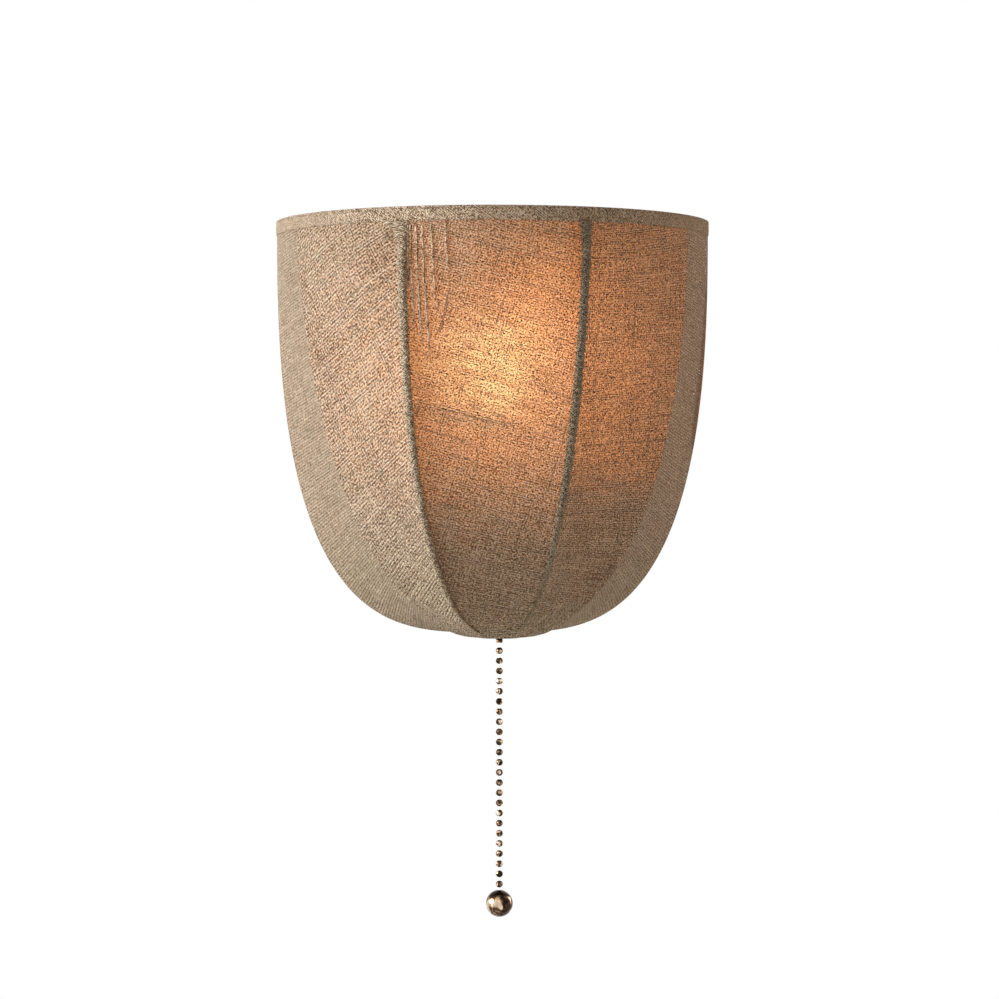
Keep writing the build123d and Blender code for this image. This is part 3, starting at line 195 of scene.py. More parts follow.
# Paints, plastics and ceramic: colour, roughness, depth of the skin and coat
COATINGS = {
    "frame_wire": ((0.84, 0.81, 0.75), 0.42, 0.06, 0.2),
    "cover_paint": ((0.83, 0.80, 0.74), 0.45, 0.12, 0.1),
    "white_plastic": ((0.84, 0.84, 0.80), 0.5, 0.04),
    "black_plastic": ((0.035, 0.033, 0.03), 0.35, 0.03, 0.3),
    "porcelain": ((0.84, 0.83, 0.79), 0.6, 0.05),
    "live_sleeve": ((0.24, 0.12, 0.05), 0.45),
    "neutral_sleeve": ((0.07, 0.20, 0.50), 0.45),
}

# Heights between which the lamp grows brighter, up from its neck
LAMP_NECK = (0.040, 0.062)

# Camera and studio. Each lamp: turn, rise, distance, size, power and colour
CAMERA_PLACE = (3.256 * MM, -1.716, 6.6 * MM)
CAMERA_LENS = 132.95
CAMERA_SENSOR = 36.0
LAMP_TARGET = (0, -0.05, 0.03)
LAMPS = {
    "key": (-78, 14, 1.8, 1.1, 28.4, (1.0, 0.955, 0.905)),
    "front": (-22, 35, 2.2, 1.4, 4.1, (1.0, 0.87, 0.74)),
    "rim": (105, 8, 1.8, 1.0, 7.0, (1.0, 0.72, 0.52)),
}
SURROUND_COLOUR = (1.0, 0.80, 0.62)
SURROUND_LEVEL = 0.16
FLOOR_COLOUR = (0.92, 0.92, 0.91)
FLOOR_HALF = 6.0
FLOOR_Z = -0.75


# ---------------------------------------------------------------- the shade's surface
def rim_point(x):
    """Point of the outer rim at this x."""
    return Vector((x, -DEPTH * sqrt(1 - (x / HALF_WIDTH) ** 2), 0.0))


def rim_reach(start, along):
    """Distance from a point inside the rim to the rim, in this direction."""
    a = (along.x / HALF_WIDTH) ** 2 + (along.y / DEPTH) ** 2
    b = start.x * along.x / HALF_WIDTH**2 + start.y * along.y / DEPTH**2
    c = (start.x / HALF_WIDTH) ** 2 + (start.y / DEPTH) ** 2 - 1
    return (-b + sqrt(b * b - a * c)) / a


def rib_curve(foot, fall_power, angle, inset=0.0):
    """Points of a rib's curve at these angles, from 0 at the rim to 90 degrees at the hub."""
    run = foot - HUB
    share = (1 - inset / run.length) * np.cos(angle) ** (2 / RIB_REACH)
    drop = (HEIGHT - inset) * np.sin(angle) ** (2 / fall_power)
    return np.stack([HUB.x + run.x * share, HUB.y + run.y * share, RIM_Z - drop], axis=-1)


def hoop_curve(side, angle, inset=0.0):
    """Points of the rear hoop's curve at these angles, on one side."""
    x = (HALF_WIDTH - inset) * np.maximum(0.0, np.cos(angle)) ** (2 / HOOP_REACH)
    drop = (HEIGHT - inset) * np.sin(angle) ** (2 / HOOP_FALL)
    return np.stack([side * x, np.full_like(x, HOOP_Y), RIM_Z - drop], axis=-1)


def end_angle(foot):
    """Angle at which a rib's curve comes within the panels' end reach of the hub."""
    run = hypot(foot.x - HUB.x, foot.y - HUB.y)
    return pi / 2 - (END_REACH / run) ** (RIB_REACH / 2)


def start_angle(fall_power, drop):
    """Angle at which a curve with this power has fallen this far below the rim."""
    return asin((drop / HEIGHT) ** (fall_power / 2))


def rim_share(z):
    """How much of the rim's roundness the fabric keeps at this height."""
    turn = np.clip((RIM_Z - z - HEM_HEIGHT) / (ROUND_SHARE * HEIGHT), 0, 1)
    return (1 - turn) ** 2 * (1 + 2 * turn)


def spread(first, last, steps):
    """Angles from first to last, closer together towards both ends."""
    return first + (last - first) * (1 - np.cos(np.linspace(0, pi, steps + 1))) / 2


def even_steps(curve, first, last, count, samples=1500):
    """Angles at which a curve is cut into equal lengths."""
    fine = spread(first, last, samples)
    points = curve(fine)
    along = arc_length(points)
    return np.interp(np.linspace(0, along[-1], count), along, fine)


def front_surface(left, right, rows, columns):
    """Points of the fabric between two ribs, row by row from the rim down."""
    feet = [rim_point(RIBS[name][0]) for name in (left, right)]
    powers = [RIBS[name][1] for name in (left, right)]
    strips = []
    for s in np.linspace(0, 1, columns):
        chord = feet[0] * (1 - s) + feet[1] * s
        last = end_angle(chord)
        run = chord - HUB
        spare = rim_reach(HUB, run.normalized()) / run.length - 1
        pair = []
        for power in powers:
            turns = even_steps(
                lambda a: rib_curve(chord, power, a), start_angle(power, PANEL_DROP), last, rows
            )
            pair.append(rib_curve(chord, power, turns))
        points = pair[0] * (1 - s) + pair[1] * s
        bow = 1 + spare * rim_share(points[:, 2])
        points[:, 0] = HUB.x + (points[:, 0] - HUB.x) * bow
        points[:, 1] = HUB.y + (points[:, 1] - HUB.y) * bow
        strips.append(points)
    return np.stack(strips, axis=1)


def side_surface(side, rib, rows, columns):
    """Points of the fabric from the rear hoop to a far rib, closed below to the hub."""
    foot = rim_point(RIBS[rib][0])
    power = RIBS[rib][1]
    rear_y = HOOP_Y - FRAME_RADIUS - BINDING - 2 * CLOTH_GAP
    rear_share = sqrt(1 - (rear_y / DEPTH) ** 2)
    rear_top = Vector((side * HALF_WIDTH * rear_share, rear_y, 0.0))
    chord = (foot - rear_top).normalized()
    outward = Vector((-side * chord.y, side * chord.x, 0.0))
    rear_turns = even_steps(
        lambda a: hoop_curve(side, a), start_angle(HOOP_FALL, PANEL_DROP), pi / 2, rows
    )
    rib_turns = even_steps(
        lambda a: rib_curve(foot, power, a), start_angle(power, PANEL_DROP), end_angle(foot), rows
    )
    rear = hoop_curve(side, rear_turns)
    seam = SEAM_GAP * (1 - np.abs(rear[:, 0]) / HALF_WIDTH)
    rear[:, 0] = rear[:, 0] * rear_share + side * seam
    rear[:, 1] = rear_y
    front = rib_curve(foot, power, rib_turns)
    shares = np.linspace(0, 1, columns)
    strips = []
    for s in shares if side < 0 else shares[::-1]:
        bow = rim_reach(rear_top * (1 - s) + foot * s, outward)
        points = rear * (1 - s) + front * s
        swell = bow * rim_share(points[:, 2])[:, None]
        strips.append(points + np.array(outward) * swell)
    return np.stack(strips, axis=1)


def ring_line(inset, steps):
    """Points of a half ellipse this far inside the rim, and its outward directions."""
    wide, deep = HALF_WIDTH - inset, DEPTH - inset
    turn_off = asin(RING_FROM_WALL / RING_DEPTH)
    turns = np.linspace(pi + turn_off, 2 * pi - turn_off, steps)
    points = np.stack([wide * np.cos(turns), deep * np.sin(turns), np.zeros(steps)], axis=1)
    out = np.stack([np.cos(turns) / wide, np.sin(turns) / deep, np.zeros(steps)], axis=1)
    return points, out / np.linalg.norm(out, axis=1)[:, None]


# ---------------------------------------------------------------- mesh helpers
def grid_quads(rows, columns, start, outward):
    """Faces of a grid of points whose first point has the index start."""
    r, c = np.meshgrid(np.arange(rows - 1), np.arange(columns - 1), indexing="ij")
    a = start + (r * columns + c).ravel()
    quads = np.stack([a, a + columns, a + columns + 1, a + 1], axis=1)
    return quads if outward else quads[:, ::-1]


def border(rows, columns):
    """Indices round the edge of a grid of points."""
    top = np.arange(columns)
    right = np.arange(1, rows) * columns + columns - 1
    bottom = (rows - 1) * columns + np.arange(columns - 2, -1, -1)
    left = np.arange(rows - 2, 0, -1) * columns
    return np.concatenate([top, right, bottom, left])


def surface_normals(points):
    """Outward unit normals of a grid of points."""
    down = np.gradient(points, axis=0)
    across = np.gradient(points, axis=1)
    normals = np.cross(down, across)
    return normals / np.linalg.norm(normals, axis=-1, keepdims=True)


def make_piece(name, points, faces, finish, smooth=True):
    """Mesh object from arrays of points and faces."""
    mesh = bpy.data.meshes.new(name)
    mesh.from_pydata([tuple(p) for p in points], [], [tuple(int(i) for i in f) for f in faces])
    mesh.polygons.foreach_set("use_smooth", [smooth] * len(mesh.polygons))
    mesh.materials.append(finish)
    mesh.update()
    piece = bpy.data.objects.new(name, mesh)
    bpy.context.scene.collection.objects.link(piece)
    return piece


def add_cloth_map(piece, values):
    """Stores each point's place on the flat cloth, which the weave follows."""
    layer = piece.data.attributes.new("cloth", "FLOAT_VECTOR", "POINT")
    layer.data.foreach_set("vector", np.asarray(values, np.float32).ravel())


def cloth_shell(name, outer, cloth, thickness, finish, lining):
    """Sheet of cloth with a thickness: an outer and an inner face joined round the edge."""
    rows, columns = outer.shape[:2]
    inner = outer - surface_normals(outer) * thickness
    count = rows * columns
    edge = border(rows, columns)
    following = np.roll(edge, -1)
    rim = np.stack([edge, following, following + count, edge + count], axis=1)
    faces = np.concatenate(
        [grid_quads(rows, columns, 0, True), grid_quads(rows, columns, count, False), rim]
    )
    points = np.concatenate([outer.reshape(-1, 3), inner.reshape(-1, 3)])
    piece = make_piece(name, points, faces, finish)
    piece.data.materials.append(lining)
    slots = np.zeros(len(faces), np.int32)
    slots[(rows - 1) * (columns - 1) : -len(rim)] = 1
    piece.data.polygons.foreach_set("material_index", slots)
    flat = np.asarray(cloth).reshape(-1, 3)
    add_cloth_map(piece, np.concatenate([flat, flat]))
    return piece


def tube(name, rings, cloth, finish):
    """Closed tube through rings of points, with flat ends."""
    count, around = rings.shape[:2]
    faces = []
    for i in range(count - 1):
        for j in range(around):
            k = (j + 1) % around
            a, b = i * around, (i + 1) * around
            faces.append((a + j, a + k, b + k, b + j))
    faces.append(tuple(range(around - 1, -1, -1)))
    faces.append(tuple((count - 1) * around + j for j in range(around)))
    piece = make_piece(name, rings.reshape(-1, 3), faces, finish)
    if cloth is not None:
        add_cloth_map(piece, np.asarray(cloth).reshape(-1, 3))
    return piece


def path_frames(points, out):
    """Outward and sideways directions along a path, square to it."""
    tangent = np.gradient(points, axis=0)
    tangent /= np.linalg.norm(tangent, axis=1)[:, None]
    out = out - tangent * np.sum(out * tangent, axis=1)[:, None]
    out /= np.linalg.norm(out, axis=1)[:, None]
    return out, np.cross(tangent, out)


def ring_turns(around):
    """Angles of this many points round a ring."""
    return np.arange(around) * 2 * pi / around


def rings_round(points, out, side, radius, turn):
    """Rings of points round a path. The radius may change along it and round it."""
    radius = np.broadcast_to(radius, (len(points), len(turn)))
    up = (np.cos(turn) * radius)[..., None]
    over = (np.sin(turn) * radius)[..., None]
    return points[:, None] + out[:, None] * up + side[:, None] * over


def arc_length(points):
    """Distance along a path at each of its points."""
    return np.concatenate([[0], np.cumsum(np.linalg.norm(np.diff(points, axis=0), axis=1))])


def even_path(points, step):
    """The same path with points at even distances."""
    along = arc_length(points)
    places = np.linspace(0, along[-1], int(along[-1] / step) + 1)
    return np.stack([np.interp(places, along, points[:, k]) for k in range(3)], axis=1)


def rough(places, scale, seed):
    """Smooth noise, about -1 to 1, at each place."""
    shape = places.shape[:-1]
    flat = places.reshape(-1, 3) * scale + seed * 7.31
    values = np.array([noise.noise(Vector(p)) for p in flat])
    return values.reshape(shape)


# ---------------------------------------------------------------- finishes
class Thread:
    """One value that runs through a finish, with Python's operators for its maths."""

    def __init__(self, finish, socket):
        self.finish = finish
        self.socket = socket

    def maths(self, operation, *values):
        inputs = dict(enumerate(values))
        return self.finish.node("ShaderNodeMath", {"operation": operation}, inputs)

    def __add__(self, other):
        return self.maths("ADD", self, other)

    def __sub__(self, other):
        return self.maths("SUBTRACT", self, other)

    def __rsub__(self, other):
        return self.maths("SUBTRACT", other, self)

    def __mul__(self, other):
        return self.maths("MULTIPLY", self, other)

    def __truediv__(self, other):
        return self.maths("DIVIDE", self, other)

    def __rtruediv__(self, other):
        return self.maths("DIVIDE", other, self)

    def __pow__(self, other):
        return self.maths("POWER", self, other)

    def __abs__(self):
        return self.maths("ABSOLUTE", self)

    __radd__ = __add__
    __rmul__ = __mul__

    def floor(self):
        return self.maths("FLOOR", self)

    def wave(self):
        """Sine of the value."""
        return self.maths("SINE", self)

    def larger(self, other):
        return self.maths("MAXIMUM", self, other)

    def rise(self, low, high):
        """0 below low, 1 above high and a soft step between them."""
        settings = {"interpolation_type": "SMOOTHSTEP"}
        inputs = {"Value": self, "From Min": low, "From Max": high}
        return self.finish.node("ShaderNodeMapRange", settings, inputs)


class Finish:
    """A material, or the surroundings, under construction. One method adds any node."""

    def __init__(self, name, owner=None):
        self.material = owner or bpy.data.materials.new(name)
        self.material.use_nodes = True
        self.tree = self.material.node_tree
        self.tree.nodes.clear()

    def node(self, kind, settings=None, inputs=None, output=0):
        made = self.tree.nodes.new(kind)
        for key, value in (settings or {}).items():
            if key == "stops":
                self.set_stops(made.color_ramp, value)
            else:
                setattr(made, key, value)
        for key, value in (inputs or {}).items():
            if isinstance(value, Thread):
                self.tree.links.new(value.socket, made.inputs[key])
            else:
                made.inputs[key].default_value = value
        return Thread(self, made.outputs[output]) if made.outputs else None

    @staticmethod
    def set_stops(ramp, stops):
        while len(ramp.elements) < len(stops):
            ramp.elements.new(1.0)
        for element, (place, colour) in zip(ramp.elements, stops):
            element.position = place
            element.color = (*colour, 1.0)

    def mix(self, share, first, second):
        """Colour between two colours."""
        inputs = {0: share, 6: opaque(first), 7: opaque(second)}
        settings = {"data_type": "RGBA", "clamp_factor": True}
        return self.node("ShaderNodeMix", settings, inputs, 2)

    def tint(self, colour, amount):
        """Colour scaled by a value."""
        inputs = {0: opaque(colour)[:3] if not isinstance(colour, Thread) else colour, 3: amount}
        return self.node("ShaderNodeVectorMath", {"operation": "SCALE"}, inputs)

    def times(self, colour, other):
        """Two colours multiplied, channel by channel."""
        return self.node("ShaderNodeVectorMath", {"operation": "MULTIPLY"}, {0: colour, 1: other})

    def ramp(self, value, stops):
        """Colour that follows a value through these stops."""
        return self.node("ShaderNodeValToRGB", {"stops": stops}, {"Fac": value})

    def distance(self, point):
        """Distance of each place on the object from a point."""
        inputs = {0: self.place(), 1: tuple(point)}
        return self.node("ShaderNodeVectorMath", {"operation": "DISTANCE"}, inputs, "Value")

    def seen_by(self, *rays):
        """1 for these kinds of ray and 0 for all others."""
        path = self.tree.nodes.new("ShaderNodeLightPath")
        first, *others = [Thread(self, path.outputs[ray]) for ray in rays]
        for other in others:
            first = first.larger(other)
        return first

    def vector(self, x, y, z):
        return self.node("ShaderNodeCombineXYZ", None, {0: x, 1: y, 2: z})

    def parts_of(self, vector):
        made = self.tree.nodes.new("ShaderNodeSeparateXYZ")
        self.tree.links.new(vector.socket, made.inputs[0])
        return [Thread(self, made.outputs[k]) for k in range(3)]

    def place(self):
        """Place on the object, in metres."""
        return self.node("ShaderNodeTexCoord", None, None, "Object")

    def cloth(self):
        """Place on the flat cloth, in metres, and how much light comes through it."""
        return self.node("ShaderNodeAttribute", {"attribute_name": "cloth"}, None, "Vector")

    def noise(self, vector, scale, detail=2.0, roughness=0.5, distortion=0.0):
        inputs = {"Vector": vector, "Scale": scale, "Detail": detail, "Roughness": roughness}
        inputs["Distortion"] = distortion
        return self.node("ShaderNodeTexNoise", None, inputs)

    def chance(self, value):
        """Random number from 0 to 1 for each whole value."""
        return self.node("ShaderNodeTexWhiteNoise", {"noise_dimensions": "1D"}, {"W": value})

    def bump(self, height, distance, strength=1.0):
        inputs = {"Height": height, "Distance": distance, "Strength": strength}
        return self.node("ShaderNodeBump", None, inputs)

    def surface(self, **inputs):
        """Ends the finish with one surface shader. Underscores in names stand for spaces."""
        named = {key.replace("_", " "): value for key, value in inputs.items()}
        for key in ("Base Color", "Emission Color", "Coat Tint", "Sheen Tint"):
            if key in named:
                named[key] = opaque(named[key])
        shader = self.node("ShaderNodeBsdfPrincipled", None, named)
        self.node("ShaderNodeOutputMaterial", None, {"Surface": shader})
        return self.material


def opaque(colour):
    """Colour with a full alpha, for a colour socket."""
    if isinstance(colour, Thread) or len(colour) == 4:
        return colour
    return (*colour, 1.0)


def weave(finish, coarse=1.0):
    """Height, tone and openness of a plain weave of uneven linen threads."""
    cloth = finish.cloth()
    across, down, light = finish.parts_of(cloth)
    # Threads wander: more where the lamp shows them through the cloth
    drift = finish.noise(cloth, 90.0, 2.0) - 0.5
    loose = light.rise(0.56, 0.8) * 0.64 + 0.36
    sway = (finish.noise(cloth, 480.0 / coarse, 1.5) - 0.5) * loose
    pitch = THREAD_PITCH * coarse
    warp = across / (pitch * 1.1) + drift * loose * 1.8 + sway * 1.1
    weft = down / pitch + drift * loose * 1.2 - sway * 1.0
    # Each thread's number, how far a place is from its middle, and its changes in thickness
    warp_id = warp.floor()
    weft_id = weft.floor()
    warp_mid = abs(warp - warp_id - 0.5) * 2
    weft_mid = abs(weft - weft_id - 0.5) * 2
    warp_run = finish.noise(finish.vector(warp_id * 3.7, weft * 0.07, 0.0), 1.0, 2.0, 0.6)
    weft_run = finish.noise(finish.vector(warp * 0.05, weft_id * 5.1, 9.0), 1.0, 2.0, 0.6)
    # Warp and weft take turns on top
    over = ((weft + warp_id) * pi).wave()
    under = ((warp + weft_id) * pi).wave()
    warp_top = warp_run.rise(0.25, 0.8) * 0.4 + 0.66 - warp_mid**2.0 + over * 0.45
    weft_top = weft_run.rise(0.25, 0.8) * 0.5 + 0.98 - weft_mid**2.0 * 1.15 - under * 0.38
    speckle = finish.noise(cloth, 820.0 / coarse, 1.5, 0.6).rise(0.3, 0.7)
    fibre = finish.noise(cloth, 2400.0 / coarse, 1.0, 0.6)
    # Some threads are parted by a dark line, and a few are dark, the warp ones only where much of
    # the lamp's light comes through
    warp_line = finish.chance(warp_id).rise(0.78, 0.84) * warp_run.rise(0.46, 0.62)
    weft_line = finish.chance(weft_id + 0.5).rise(0.70, 0.78) * weft_run.rise(0.46, 0.62)
    warp_line = warp_line * warp_mid.rise(0.35, 0.8)
    weft_line = weft_line * weft_mid.rise(0.35, 0.8)
    dark_warp = finish.chance(warp_id * 1.7 + 0.3).rise(0.90, 0.92) * warp_run.rise(0.53, 0.60)
    dark_weft = finish.chance(weft_id * 1.3 + 0.7).rise(0.93, 0.95) * weft_run.rise(0.55, 0.62)
    dark_warp = dark_warp * (1 - warp_mid.rise(0.2, 0.7)) * light.rise(0.7, 0.8) * 0.85
    dark_weft = dark_weft * (1 - weft_mid.rise(0.35, 0.9)) * 0.7
    return {
        "height": warp_top.larger(weft_top) + (speckle - 0.5) * 0.9 + (fibre - 0.5) * 0.8,
        "runs": warp_run + weft_run - 1,
        "speckle": speckle,
        "lines": warp_line.larger(weft_line).larger(dark_warp).larger(dark_weft),
        "light": light,
        "across": across,
        "down": down,
    }


def lamp_light(finish, down, across):
    """How strongly the lamp's light reaches the fabric, where it is hottest, and how far the
    cloth right of the near right rib is lit."""
    x, _, z = finish.parts_of(finish.place())
    reach = (GLOW_REACH / finish.distance(BULB)) ** 2.2
    streaks = finish.noise(finish.vector(across * 40.0, down * 150.0, 3.0), 1.0, 2.0, 0.6)
    hot = 1 - finish.distance(HOT_PLACE).rise(0.002, HOT_RADIUS)
    hot = hot * (streaks.rise(0.3, 0.7) * 0.7 + 0.45)
    # The holder shades the lower part, with a harder edge on the right
    edge = z + x * 0.03 + (streaks - 0.5) * 0.016
    beside = x.rise(*RIGHT_SEAM)
    soft = edge.rise(*SOFT_EDGE)
    above = (soft + (edge.rise(*HARD_EDGE) - soft) * beside) * 0.66 + 0.34
    # Thin shadow of the lampholder's collar
    thin = 1 - abs(z - COLLAR_Z + x * 0.20).rise(0.0005, 0.005)
    collar = 1 - thin * (1 - abs(x + 0.010).rise(0.014, 0.032)) * 0.28
    upper = finish.distance(UPPER_WARM).rise(0.0, UPPER_RADIUS)
    reach = reach * (1.52 - upper * 0.52)
    return reach * above * collar * (streaks * 0.8 + 0.6), hot, beside * above


def linen_finish(name, shade=1.0, coarse=1.0, inside=False, bold=False, tint_and_painted_shade=WHITE):
    """Coarse natural linen, with the lamp's light coming through it. The bold linen of hem
    and cords has painted light and shade: brighter in the middle of the shade and darker towards
    its right. It is plainer at its sides."""
    f = Finish(name)
    w = weave(f, coarse)
    x, _, z = f.parts_of(f.place())
    patch = f.noise(f.place(), 45.0, 3.0, 0.6)
    tone = w["height"] * 0.56 + w["speckle"] * 0.46 + w["runs"] * 0.6 + patch * 0.2 - 0.36
    if bold:
        plain = (1 - abs(x).rise(0.05, 0.095)) * 0.55 + 0.45
        # Painted light and shade: brighter in the middle, darker towards the right
        middle = 1 - abs(x + 0.012).rise(0.02, 0.07)
        shade = middle * 0.40 - x.rise(0.0, 0.05) * 0.2 + shade
    else:
        plain = w["light"].rise(0.17, 0.5) * 0.5 + 0.5
    colour = f.ramp((tone - 0.5) * plain + 0.5, LINEN_STOPS)
    flecks = f.noise(f.cloth(), 900.0, 1.0).rise(0.61, 0.68).larger(w["lines"] * 0.9)
    # Given tint, which for the right rib's cord also holds painted shade
    colour = f.times(f.mix(flecks * plain * 0.85, colour, FLECK), tint_and_painted_shade)
    # Painted shade: darker and greyer towards the bottom
    low = 1 - z.rise(*LOW_SHADE_HEIGHTS)
    colour = f.tint(f.times(colour, f.mix(low, WHITE, LOW_PAINTED_SHADE)), shade)
    reach, hot, beside = lamp_light(f, w["down"], w["across"])
    # Painted shade: darker and warmer right of the near right rib, where the lamp's light comes
    # through
    if not bold:
        beside = beside * w["light"].rise(0.3, 0.6)
        colour = f.times(colour, f.mix(beside, WHITE, RIGHT_PAINTED_SHADE))
    gap = 1 - w["height"].rise(0.3, 1.1)
    grain = f.noise(f.cloth(), 1050.0, 1.5, 0.6).rise(0.36, 0.64)
    through = (grain * 1.9 + w["speckle"] * 0.95 - gap * 0.55) * (1 - flecks * 0.9)
    if inside:
        glow = f.tint(GLOW_HOT, reach * through * 0.4)
    else:
        strength = reach * w["light"] * through
        yellow = hot.larger(grain * w["speckle"] * 0.55)
        glow = f.tint(f.mix(yellow, GLOW_DEEP, GLOW_HOT), strength * (hot * 0.10 + 1.02))
    return f.surface(
        Base_Color=colour,
        Roughness=0.9,
        Specular_IOR_Level=0.25,
        Sheen_Weight=0.2,
        Sheen_Roughness=0.5,
        Emission_Color=glow,
        Emission_Strength=1.0,
        Normal=f.bump(w["height"], 0.45 * MM, 1.0),
    )


def metal_finish(name, colour, roughness, grain, stretch=PLAIN, wear=0.12):
    """Metal with fine marks in its polish and slightly uneven tone."""
    f = Finish(name)
    x, y, z = f.parts_of(f.place())
    marks = f.noise(f.vector(x * stretch[0], y * stretch[1], z * stretch[2]), 2200.0, 3.0, 0.6)
    cloud = f.noise(f.place(), 90.0, 3.0, 0.6)
    darker = tuple(c * (1 - 2.2 * wear) for c in colour)
    tone = f.mix(cloud.rise(0.3, 0.75), colour, darker)
    return f.surface(
        Base_Color=tone,
        Metallic=1.0,
        Roughness=cloud * 0.12 + marks * grain + (roughness - 0.06),
        Normal=f.bump(marks, 0.02 * MM, 0.3),
    )


def bronze_finish(name, scale, roughness, pale_links):
    """Polished bronze with painted reflections: bright areas, and near-black areas between them.
    """
    f = Finish(name)
    x, y, z = f.parts_of(f.place())
    reflection_patches = f.noise(f.vector(x, y, z * 0.6), scale, 2.0, 0.55, 0.8)
    marks = f.noise(f.place(), 2200.0, 3.0, 0.6)
    # Painted reflections: dark and bright areas in the colour
    colour = f.ramp(reflection_patches, BRONZE_REFLECTION_STOPS)
    if pale_links:
        off_axis = f.node(
            "ShaderNodeVectorMath",
            {"operation": "LENGTH"},
            {0: f.vector(x - HUB.x, y - HUB.y, 0.0)},
            "Value",
        )
        colour = f.mix(off_axis.rise(*LINK_RADIUS), PALE_LINK, colour)
    return f.surface(
        Base_Color=colour,
        Metallic=1.0,
        Roughness=reflection_patches * 0.1 + marks * 0.04 + (roughness - 0.05),
        Normal=f.bump(reflection_patches, 0.12 * MM, 0.5),
    )


def coated_finish(name, colour, roughness, texture=0.05, coat=0.0):
    """Paint, plastic or ceramic with a fine skin and slightly uneven tone."""
    f = Finish(name)
    skin = f.noise(f.place(), 1400.0, 2.0, 0.5)
    cloud = f.noise(f.place(), 60.0, 3.0, 0.55)
    darker = tuple(c * 0.86 for c in colour)
    tone = f.mix(cloud.rise(0.35, 0.75), colour, darker)
    return f.surface(
        Base_Color=tone,
        Roughness=cloud * 0.15 + (roughness - 0.07),
        Coat_Weight=coat,
        Coat_Roughness=0.15,
        Normal=f.bump(skin, texture * MM, 0.35),
    )


def striped_finish(name, colour, stripe):
    """Wire insulation with a thin stripe along it."""
    f = Finish(name)
    x, _, z = f.parts_of(f.place())
    skin = f.noise(f.place(), 1200.0, 2.0, 0.5)
    band = abs(((x - z) * 1300.0).wave()).rise(0.78, 0.86)
    return f.surface(
        Base_Color=f.mix(band, colour, stripe),
        Roughness=skin * 0.2 + 0.35,
        Normal=f.bump(skin, 0.03 * MM, 0.3),
    )


def lit_finish(name, colour, strength, dim):
    """Frosted glass or phosphor that gives light, a little dimmer towards its neck."""
    f = Finish(name)
    z = f.parts_of(f.place())[2]
    frost = f.noise(f.place(), 700.0, 2.0, 0.5)
    level = z.rise(*dim) * 0.6 + frost * 0.1 + 0.35
    return f.surface(
        Base_Color=colour,
        Roughness=0.35,
        Emission_Color=f.tint(colour, level),
        Emission_Strength=strength,
        Normal=f.bump(frost, 0.02 * MM, 0.3),
    )


def clear_finish(name, colour):
    """Clear glass with faint drawing marks."""
    f = Finish(name)
    x, y, z = f.parts_of(f.place())
    marks = f.noise(f.vector(x, y, z * 0.1), 300.0, 2.0, 0.5)
    return f.surface(
        Base_Color=colour,
        Roughness=marks * 0.05 + 0.02,
        Transmission_Weight=1.0,
        IOR=1.5,
        Normal=f.bump(marks, 0.05 * MM, 0.2),
    )


def make_finishes():
    """Every finish, by the name of its material slot."""
    finishes = {
        "linen": linen_finish("linen"),
        "hem_fabric": linen_finish("hem_fabric", shade=1.36, coarse=0.56, bold=True),
        "chain_metal": bronze_finish("chain_metal", 520.0, 0.20, True),
        "ball_bronze": bronze_finish("ball_bronze", 240.0, 0.10, False),
        "earth_sleeve": striped_finish("earth_sleeve", (0.12, 0.36, 0.08), (0.75, 0.62, 0.06)),
        "lamp_glass": clear_finish("lamp_glass", (0.96, 0.97, 0.97)),
        "opal_glass": lit_finish("opal_glass", (1.0, 0.80, 0.52), 2.6, LAMP_NECK),
        "filament": lit_finish("filament", (1.0, 0.78, 0.42), 3.0, LAMP_NECK),
    }
    for name, facts in METALS.items():
        finishes[name] = metal_finish(name, *facts)
    for name, facts in COATINGS.items():
        finishes[name] = coated_finish(name, *facts)
    return finishes


# ---------------------------------------------------------------- fabric pieces
def cloth_place(points, bias, light, fine):
    """Place of each point on the cloth as it was cut flat, before it was bent round the
    middle line of its panel, with the threads turned by the bias angle."""
    middle = points[:, points.shape[1] // 2]
    tangent = np.gradient(middle, axis=0)
    tangent /= np.linalg.norm(tangent, axis=1)[:, None]
    chord = points[0, -1] - points[0, 0]
    chord /= np.linalg.norm(chord)
    length = arc_length(middle)
    flat = points.reshape(-1, 3)
    ahead = flat @ tangent.T - np.sum(middle * tangent, axis=1)
    level = np.argmin(np.abs(ahead), axis=1)
    down = length[level] + ahead[np.arange(len(flat)), level]
    across = (flat - middle[level]) @ chord
    turned_across = across * cos(bias) - down * sin(bias)
    turned_down = across * sin(bias) + down * cos(bias)
    lights = np.broadcast_to(light, points.shape[:2]).reshape(-1)
    return np.stack([turned_across / fine, turned_down / fine, lights], axis=-1)


def drape(points, seed, hollow, puckers):
    """Pulls a smooth panel about as real cloth is: hollow between its ribs, with
    puckers under the hem and uneven threads."""
    rows, columns = points.shape[:2]
    normals = surface_normals(points)
    s = np.linspace(0, 1, columns)[None, :]
    t = np.linspace(0, 1, rows)[:, None]
    inward = -hollow * 4 * s * (1 - s) * np.sin(pi * t) ** 0.8
    cloud = rough(points, 60.0, seed) * 0.16 * MM
    ripple = np.zeros((rows, columns))
    for centre, width, depth, length in puckers:
        profile = np.exp(-(((s - centre) / width) ** 2))
        ripple = ripple + depth * profile * np.exp(-t / length)
    edge = np.minimum(1, np.minimum(s, 1 - s) / 0.04) * np.minimum(1, t / 0.02)
    return points + normals * (inward + (cloud + ripple) * edge)[..., None]


